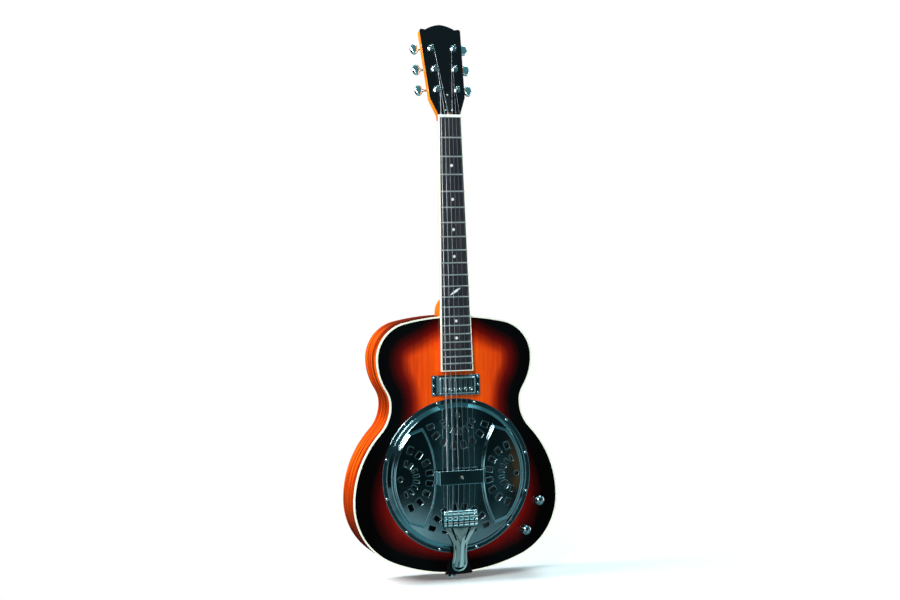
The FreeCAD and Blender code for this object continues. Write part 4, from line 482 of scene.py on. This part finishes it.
# The tuner buttons get a brighter copy of the chrome: painted light.
LIT_BUTTON_PAINT = metal("button_chrome_painted_light", (0.78, 0.96, 1.0), 0.06, edge=0.0012)
PICKUP_PAINT = metal("pickup_chrome", (0.50, 0.56, 0.58), 0.07, edge=0.0030)
OWN_PAINTS = {
    "coverplate": cover_metal(PLATE_COLOUR),
    "side_bass": SIDE_PAINT,
    "side_treble": SIDE_PAINT,
    "neck": NECK_PAINT,
    "pickup_cover": PICKUP_PAINT,
    "volume_knob": KNOB_PAINT,
    "tone_knob": KNOB_PAINT,
    **{f"tuner_button_{n}": LIT_BUTTON_PAINT for n in range(1, 7)},
}

for name, node in NODES.items():
    for slot in node.material_slots:
        paint = OWN_PAINTS.get(name) or PAINTS[slot.material.name.split(".")[0]]
        slot.material = paint.material

# ---- tailpiece, in millimetres; the stations' heights are above TAIL_Z ----


def curve_through(stations, z):
    """Smooth value at z from (z, value) stations."""
    for low, high in zip(stations, stations[1:]):
        if z <= high[0]:
            share = max(0.0, (z - low[0]) / (high[0] - low[0]))
            i = stations.index(low)
            before = stations[i - 1] if i else low
            after = stations[i + 2] if i + 2 < len(stations) else high
            run = high[0] - low[0]
            start = (high[1] - before[1]) / (high[0] - before[0]) * run
            end = (after[1] - low[1]) / (after[0] - low[0]) * run
            a, b = share * share, share * share * share
            return ((2 * b - 3 * a + 1) * low[1] + (b - 2 * a + share) * start
                    + (3 * a - 2 * b) * high[1] + (b - a) * end)
    return stations[-1][1]


TAIL_WIDTHS = ((4.0, 0.5), (4.6, 5.0), (6.0, 8.4), (8.5, 11.2), (12.0, 13.2), (19.2, 14.2),
               (33.0, 12.9), (46.0, 12.5), (56.6, 13.7), (66.5, 18.4), (76.0, 24.0),
               (83.0, 28.2), (88.0, 30.6), (96.0, 31.2), (113.5, 31.0))
TAIL_CROWNS = ((4.0, 0.2), (10.0, 1.2), (20.0, 1.8), (40.0, 2.2), (60.0, 2.0), (76.0, 1.2),
               (92.0, 0.4), (113.5, 0.2))
TAIL_RIDGES = ((4.0, 0.0), (11.0, 0.0), (18.0, 0.5), (32.0, 0.75), (48.0, 0.6), (62.0, 0.2),
               (74.0, 0.0), (113.5, 0.0))
TAIL_STEPS = ((4.0, 0.0), (86.0, 0.0), (88.0, -0.8), (90.5, 1.5), (96.0, 2.3), (99.5, 1.6),
              (101.5, -0.8), (103.0, -0.3), (105.5, 1.7), (107.5, 2.2), (109.5, 1.5),
              (111.5, 0.2), (113.5, 0.0))
TAIL_LOW, TAIL_LENGTH = 4.0, 109.5
TAIL_THICK = 1.3
BOW_LOW, BOW_LENGTH = 2.0, 112.5
BOW_Y, BOW_LEAN, BOW_SAG, BOW_LIFT = -42.5, 16.0, 3.5, 1.6
SLIT_CORNERS = ((6.6, 62.5), (14.6, 85.5), (19.8, 85.5), (9.2, 62.5))
CRESCENT_R, CRESCENT_Z = 10.4, 17.3
CHORD_HALF, CHORD_Z, CHORD_SAG = 9.8, 13.8, 2.6
COMB_LOW, COMB_HIGH = 89.0, 101.0
CUT_FRONT, CUT_BACK = -75.0, -40.0
STRING_OFFSETS = (-25.5, -15.3, -5.1, 5.1, 15.3, 25.5)
STRING_RADII = (0.66, 0.53, 0.41, 0.31, 0.23, 0.2)
BAR_Y, BAR_Z = -57.9, 115.05
BAR_PROFILE = ((-31.2, 0.0), (-31.2, 2.4), (-30.6, 3.2), (-29.6, 3.7),
               (29.6, 3.7), (30.6, 3.2), (31.2, 2.4), (31.2, 0.0))


def tail_front(z):
    """Front face of the bowed sheet at a height above the tail."""
    share = (z - BOW_LOW) / BOW_LENGTH
    sag = BOW_SAG * 4.0 * share * (1.0 - share)
    return BOW_Y - BOW_LEAN * share - sag - BOW_LIFT


def circle(count):
    """Angles round a full circle."""
    return [2.0 * math.pi * i / count for i in range(count)]


def linked(name, data):
    """A new object in the scene."""
    thing = bpy.data.objects.new(name, data)
    bpy.context.scene.collection.objects.link(thing)
    return thing


def new_object(name, vertices, faces):
    """A mesh object from corners in millimetres."""
    mesh = bpy.data.meshes.new(name)
    mesh.from_pydata([[c * MM for c in v] for v in vertices], [], faces)
    return linked(name, mesh)


def block(low, high):
    """Corners and faces of a box."""
    points = list(itertools.product(*zip(low, high)))
    return points, [(0, 1, 3, 2), (4, 6, 7, 5), (0, 4, 5, 1),
                    (2, 3, 7, 6), (0, 2, 6, 4), (1, 5, 7, 3)]


def joined(parts):
    """Corners and faces of several solids in one list each."""
    points, faces = [], []
    for some, around in parts:
        faces += [tuple(i + len(points) for i in f) for f in around]
        points += some
    return points, faces


def prism(outline, front, back):
    """Solid of an XZ outline between two depths."""
    count = len(outline)
    points = [(x, front, z) for x, z in outline] + [(x, back, z) for x, z in outline]
    faces = [tuple(range(count)), tuple(range(2 * count - 1, count - 1, -1))]
    for i in range(count):
        after = (i + 1) % count
        faces.append((i, i + count, after + count, after))
    return points, faces


SHARP_DEG = 35.0
SLIVER_M = 0.000005
WELD_M = 0.00001


def settled(piece):
    """Applies the piece's modifiers and shades it smooth except at its edges."""
    graph = bpy.context.evaluated_depsgraph_get()
    mesh = bpy.data.meshes.new_from_object(piece.evaluated_get(graph))
    piece.modifiers.clear()
    piece.data = mesh
    mesh.polygons.foreach_set("use_smooth", [True] * len(mesh.polygons))
    mesh.set_sharp_from_angle(angle=math.radians(SHARP_DEG))


def without_crumbs(mesh):
    """Merges close corners, and deletes what a cut leaves loose beside the one whole body."""
    shape = bmesh.new()
    shape.from_mesh(mesh)
    bmesh.ops.remove_doubles(shape, verts=shape.verts, dist=SLIVER_M)
    bmesh.ops.dissolve_degenerate(shape, edges=shape.edges, dist=SLIVER_M)
    left, islands = set(shape.faces), []
    while left:
        island, edge = set(), [left.pop()]
        while edge:
            face = edge.pop()
            island.add(face)
            near = {other for side in face.edges for other in side.link_faces} & left
            left -= near
            edge.extend(near)
        islands.append(island)
    islands.sort(key=len)
    for island in islands[:-1]:
        bmesh.ops.delete(shape, geom=list(island), context="FACES")
    shape.to_mesh(mesh)
    shape.free()


def carve(piece, parts):
    """Cuts the parts out of the piece."""
    cutter = new_object("cuts", *joined(parts))
    cut = piece.modifiers.new("cut", "BOOLEAN")
    cut.object = cutter
    cut.solver = "EXACT"
    settled(piece)
    without_crumbs(piece.data)
    bpy.data.objects.remove(cutter)


def tail_sheet():
    """Stamped sheet: ridged stem, two slits, a head with a raised comb, and a crescent
    opening at the tip."""
    across, rows = 56, 150
    points, faces = [], []
    for row in range(rows + 1):
        z = TAIL_LOW + TAIL_LENGTH * row / rows
        half = curve_through(TAIL_WIDTHS, z)
        crown = curve_through(TAIL_CROWNS, z)
        step = curve_through(TAIL_STEPS, z)
        ridge = curve_through(TAIL_RIDGES, z)
        for column in range(across + 1):
            u = math.sin((column / across - 0.5) * math.pi)
            swell = crown * (0.55 - u * u) + ridge * math.cos(2.0 * math.pi * u)
            points.append((half * u, tail_front(z) - step - swell, TAIL_Z + z))
    for row in range(rows):
        for column in range(across):
            i = row * (across + 1) + column
            faces.append((i, i + 1, i + across + 2, i + across + 1))
    sheet = new_object("tailpiece_shell", points, faces)
    thick = sheet.modifiers.new("thick", "SOLIDIFY")
    thick.thickness = TAIL_THICK * MM
    thick.offset = -1.0
    settled(sheet)
    parts = []
    # For each string: a slot under the bar, and a wider gap in the raised comb.
    for x, r in zip(STRING_OFFSETS, STRING_RADII):
        for spare, low, high in ((0.5, BAR_Z - 10.5, BAR_Z - 3.4),
                                 (1.0, TAIL_Z + COMB_LOW, TAIL_Z + COMB_HIGH)):
            wide = r + spare
            parts.append(block((x - wide, CUT_FRONT, low), (x + wide, CUT_BACK, high)))
    for side in (-1, 1):
        slit = [(side * x, TAIL_Z + z) for x, z in SLIT_CORNERS]
        parts.append(prism(slit[::-side], CUT_FRONT, CUT_BACK))
    outer, inner = [], []
    for i in range(21):
        a = math.radians(200 + 7 * i)
        z = TAIL_Z + CRESCENT_Z + CRESCENT_R * math.sin(a)
        outer.append((CRESCENT_R * math.cos(a), z))
    for i in range(1, 20):
        u = 1 - i / 10
        inner.append((CHORD_HALF * u, TAIL_Z + CHORD_Z - CHORD_SAG * (1 - u ** 2)))
    parts.append(prism(outer + inner, -60.0, -35.0))
    carve(sheet, parts)
    return sheet


def tail_bar():
    """Rolled bar over the head, notched for the six strings."""
    around = 40
    points = [(x, BAR_Y + r * math.cos(a), BAR_Z + r * math.sin(a))
              for x, r in BAR_PROFILE for a in circle(around)]
    faces = []
    for ring in range(len(BAR_PROFILE) - 1):
        for i in range(around):
            a, b = ring * around + i, ring * around + (i + 1) % around
            faces.append((a, b, b + around, a + around))
    bar = new_object("tailpiece_bar", points, faces)
    weld = bar.modifiers.new("weld", "WELD")
    weld.merge_threshold = WELD_M
    settled(bar)
    notches = []
    for x, r in zip(STRING_OFFSETS, STRING_RADII):
        wide = r + 0.35
        notches.append(block((x - wide, CUT_FRONT, BAR_Z - 5.0),
                             (x + wide, BAR_Y + 0.8, BAR_Z + 8.0)))
    carve(bar, notches)
    return bar


for piece in (tail_sheet(), tail_bar()):
    piece.data.materials.clear()
    piece.data.materials.append(PAINTS["tail_chrome"].material)
    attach(piece, "guitar")
    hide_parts("tailpiece")

# ---- studio ----

FLOOR_R = 0.6


def stage_floor():
    """Round pale floor that fades out before it shows in the front's reflections."""
    count = 96
    mesh = bpy.data.meshes.new("floor")
    z = CAD_BOX[0].z - 0.001
    rim = [(FLOOR_R * math.cos(a), FLOOR_R * math.sin(a), z) for a in circle(count)]
    mesh.from_pydata(rim, [], [tuple(range(count))])
    floor = linked("floor", mesh)
    paint = Paint("floor_paint", Roughness=0.9, Base_Color=(0.62, 0.62, 0.62, 1.0))
    paint.set(Emission_Color=(1.0, 1.0, 1.0, 1.0), Emission_Strength=0.15)
    x, y, _ = paint.place()
    away = (x * x + y * y).sqrt() * MM
    paint.set(Alpha=1.0 - away.ramp(FLOOR_R * 0.3, FLOOR_R))
    mesh.materials.append(paint.material)
    floor.visible_glossy = False


def softbox(name, place, aim, width, height, power, colour=(1.0, 1.0, 1.0)):
    """Rectangular lamp that faces aim."""
    light = bpy.data.lights.new(name, "AREA")
    light.shape = "RECTANGLE"
    light.size, light.size_y = width, height
    light.energy = power
    light.color = colour
    lamp = linked(name, light)
    lamp.location = place
    lamp.rotation_mode = "QUATERNION"
    lamp.rotation_quaternion = (Vector(aim) - Vector(place)).to_track_quat("-Z", "Y")


# Cards in the room ahead: left, right, low, high, softness of the edges, and brightness. The
# first five are tangents of angles seen from the guitar, from its bass side to its treble side.
TEAL_CARDS = (
    (0.265, 0.30, -0.30, 0.02, 0.012, 0.12),
    (0.34, 0.37, -0.30, 0.02, 0.012, 0.10),
    (0.425, 0.465, -0.27, -0.10, 0.015, 0.09),
)
PALE_CARDS = (
    (-0.3, 0.235, -0.36, -0.235, 0.045, 0.85),
    (-0.1, 0.6, -0.40, -0.285, 0.03, 0.45),
    (0.50, 3.0, -2.5, -0.38, 0.1, 0.9),
    (-3.0, -0.9, -2.5, -0.9, 0.1, 0.6),
    (0.6, 1.3, -0.3, 0.3, 0.12, 0.15),
    (-1.2, 0.3, -0.8, -0.44, 0.04, 0.5),
    (-1.1, -0.15, -0.42, 0.05, 0.08, 1.6),
    (1.0, 2.4, -0.5, 0.2, 0.2, 0.8),
)
WARM_CARDS = ((0.492, 0.55, -0.2, -0.05, 0.010, 0.22),)
TEAL_TINT = (0.32, 0.88, 1.0)
WARM_TINT = (1.0, 0.42, 0.08)


def studio_world():
    """White to the eye; to the object a dim teal room with a few soft cards in it."""
    world = bpy.data.worlds.new("studio")
    bpy.context.scene.world = world
    world.use_nodes = True
    tree = world.node_tree
    tree.nodes.clear()
    coords = tree.nodes.new("ShaderNodeTexCoord")
    split = tree.nodes.new("ShaderNodeSeparateXYZ")
    tree.links.new(coords.outputs["Generated"], split.inputs[0])
    x, y, z = [Val(tree, s) for s in split.outputs]
    ahead = (y * -1.0).op("MAXIMUM", 0.001)
    aside, above = x / ahead, z / ahead

    def band(value, low, high, soft):
        """1 from low to high, with soft ends."""
        rise = value.ramp(low - soft, low + soft)
        return rise * (1.0 - value.ramp(high - soft, high + soft))

    def card(left, right, low, high, soft, bright):
        return band(aside, left, right, soft) * band(above, low, high, soft) * bright

    def cards(rows):
        return sum(card(*row) for row in rows)

    room = 0.018 + z.ramp(0.1, 0.9) * 0.26 + x.ramp(0.55, 0.95) * 0.30
    overhead = z.ramp(0.72, 0.95) * x.ramp(-0.2, 0.2) * 2.0
    ground = (z * -1.0).ramp(0.45, 0.9) * 0.5
    teal = room + overhead + ground + cards(TEAL_CARDS)
    pale, warm = cards(PALE_CARDS), cards(WARM_CARDS)
    colour = tree.nodes.new("ShaderNodeCombineColor")
    for tint, heat, socket in zip(TEAL_TINT, WARM_TINT, colour.inputs):
        feed(tree, teal * tint + pale * (0.5 + tint * 0.5) + warm * heat, socket)
    lit = tree.nodes.new("ShaderNodeBackground")
    tree.links.new(colour.outputs[0], lit.inputs["Color"])
    white = tree.nodes.new("ShaderNodeBackground")
    white.inputs["Color"].default_value = (1.0, 1.0, 1.0, 1.0)
    path = tree.nodes.new("ShaderNodeLightPath")
    mix = tree.nodes.new("ShaderNodeMixShader")
    sky = tree.nodes.new("ShaderNodeOutputWorld")
    tree.links.new(path.outputs["Is Camera Ray"], mix.inputs[0])
    tree.links.new(lit.outputs[0], mix.inputs[1])
    tree.links.new(white.outputs[0], mix.inputs[2])
    tree.links.new(mix.outputs[0], sky.inputs[0])


stage_floor()
studio_world()
softbox("key", (-1.5, -2.2, 1.9), (0, 0, 0.5), 1.0, 1.2, 96.0)
softbox("side_left", (-1.9, 0.15, 1.75), (0, 0, 0.35), 0.6, 1.1, 82.0)
softbox("strip_right", (2.2, 0.45, 0.5), (0, 0, 0.3), 0.3, 1.6, 16.0, (0.8, 0.97, 1.0))
softbox("top", (0.9, 0.4, 2.5), (0, 0, 0.4), 1.0, 0.8, 30.0)

# ---- camera ----

EYE = (-0.8228, -2.6208, 0.5572)
RIGHT = Vector((0.95332271, -0.30149824, -0.01657199))
AHEAD = Vector((0.30111314, 0.95332857, -0.02225993))
UP = Vector((0.02250988, 0.01623085, 0.99961486))
camera_data = bpy.data.cameras.new("camera")
camera_data.sensor_width = 36.0
camera_data.lens = 60.0
camera_data.clip_start, camera_data.clip_end = 0.05, 50.0
camera = linked("camera", camera_data)
rotation = Matrix((RIGHT, UP, -AHEAD)).transposed()
camera.matrix_world = Matrix.Translation(EYE) @ rotation.to_4x4()
bpy.context.scene.camera = camera
bpy.context.scene.view_settings.view_transform = "Standard"
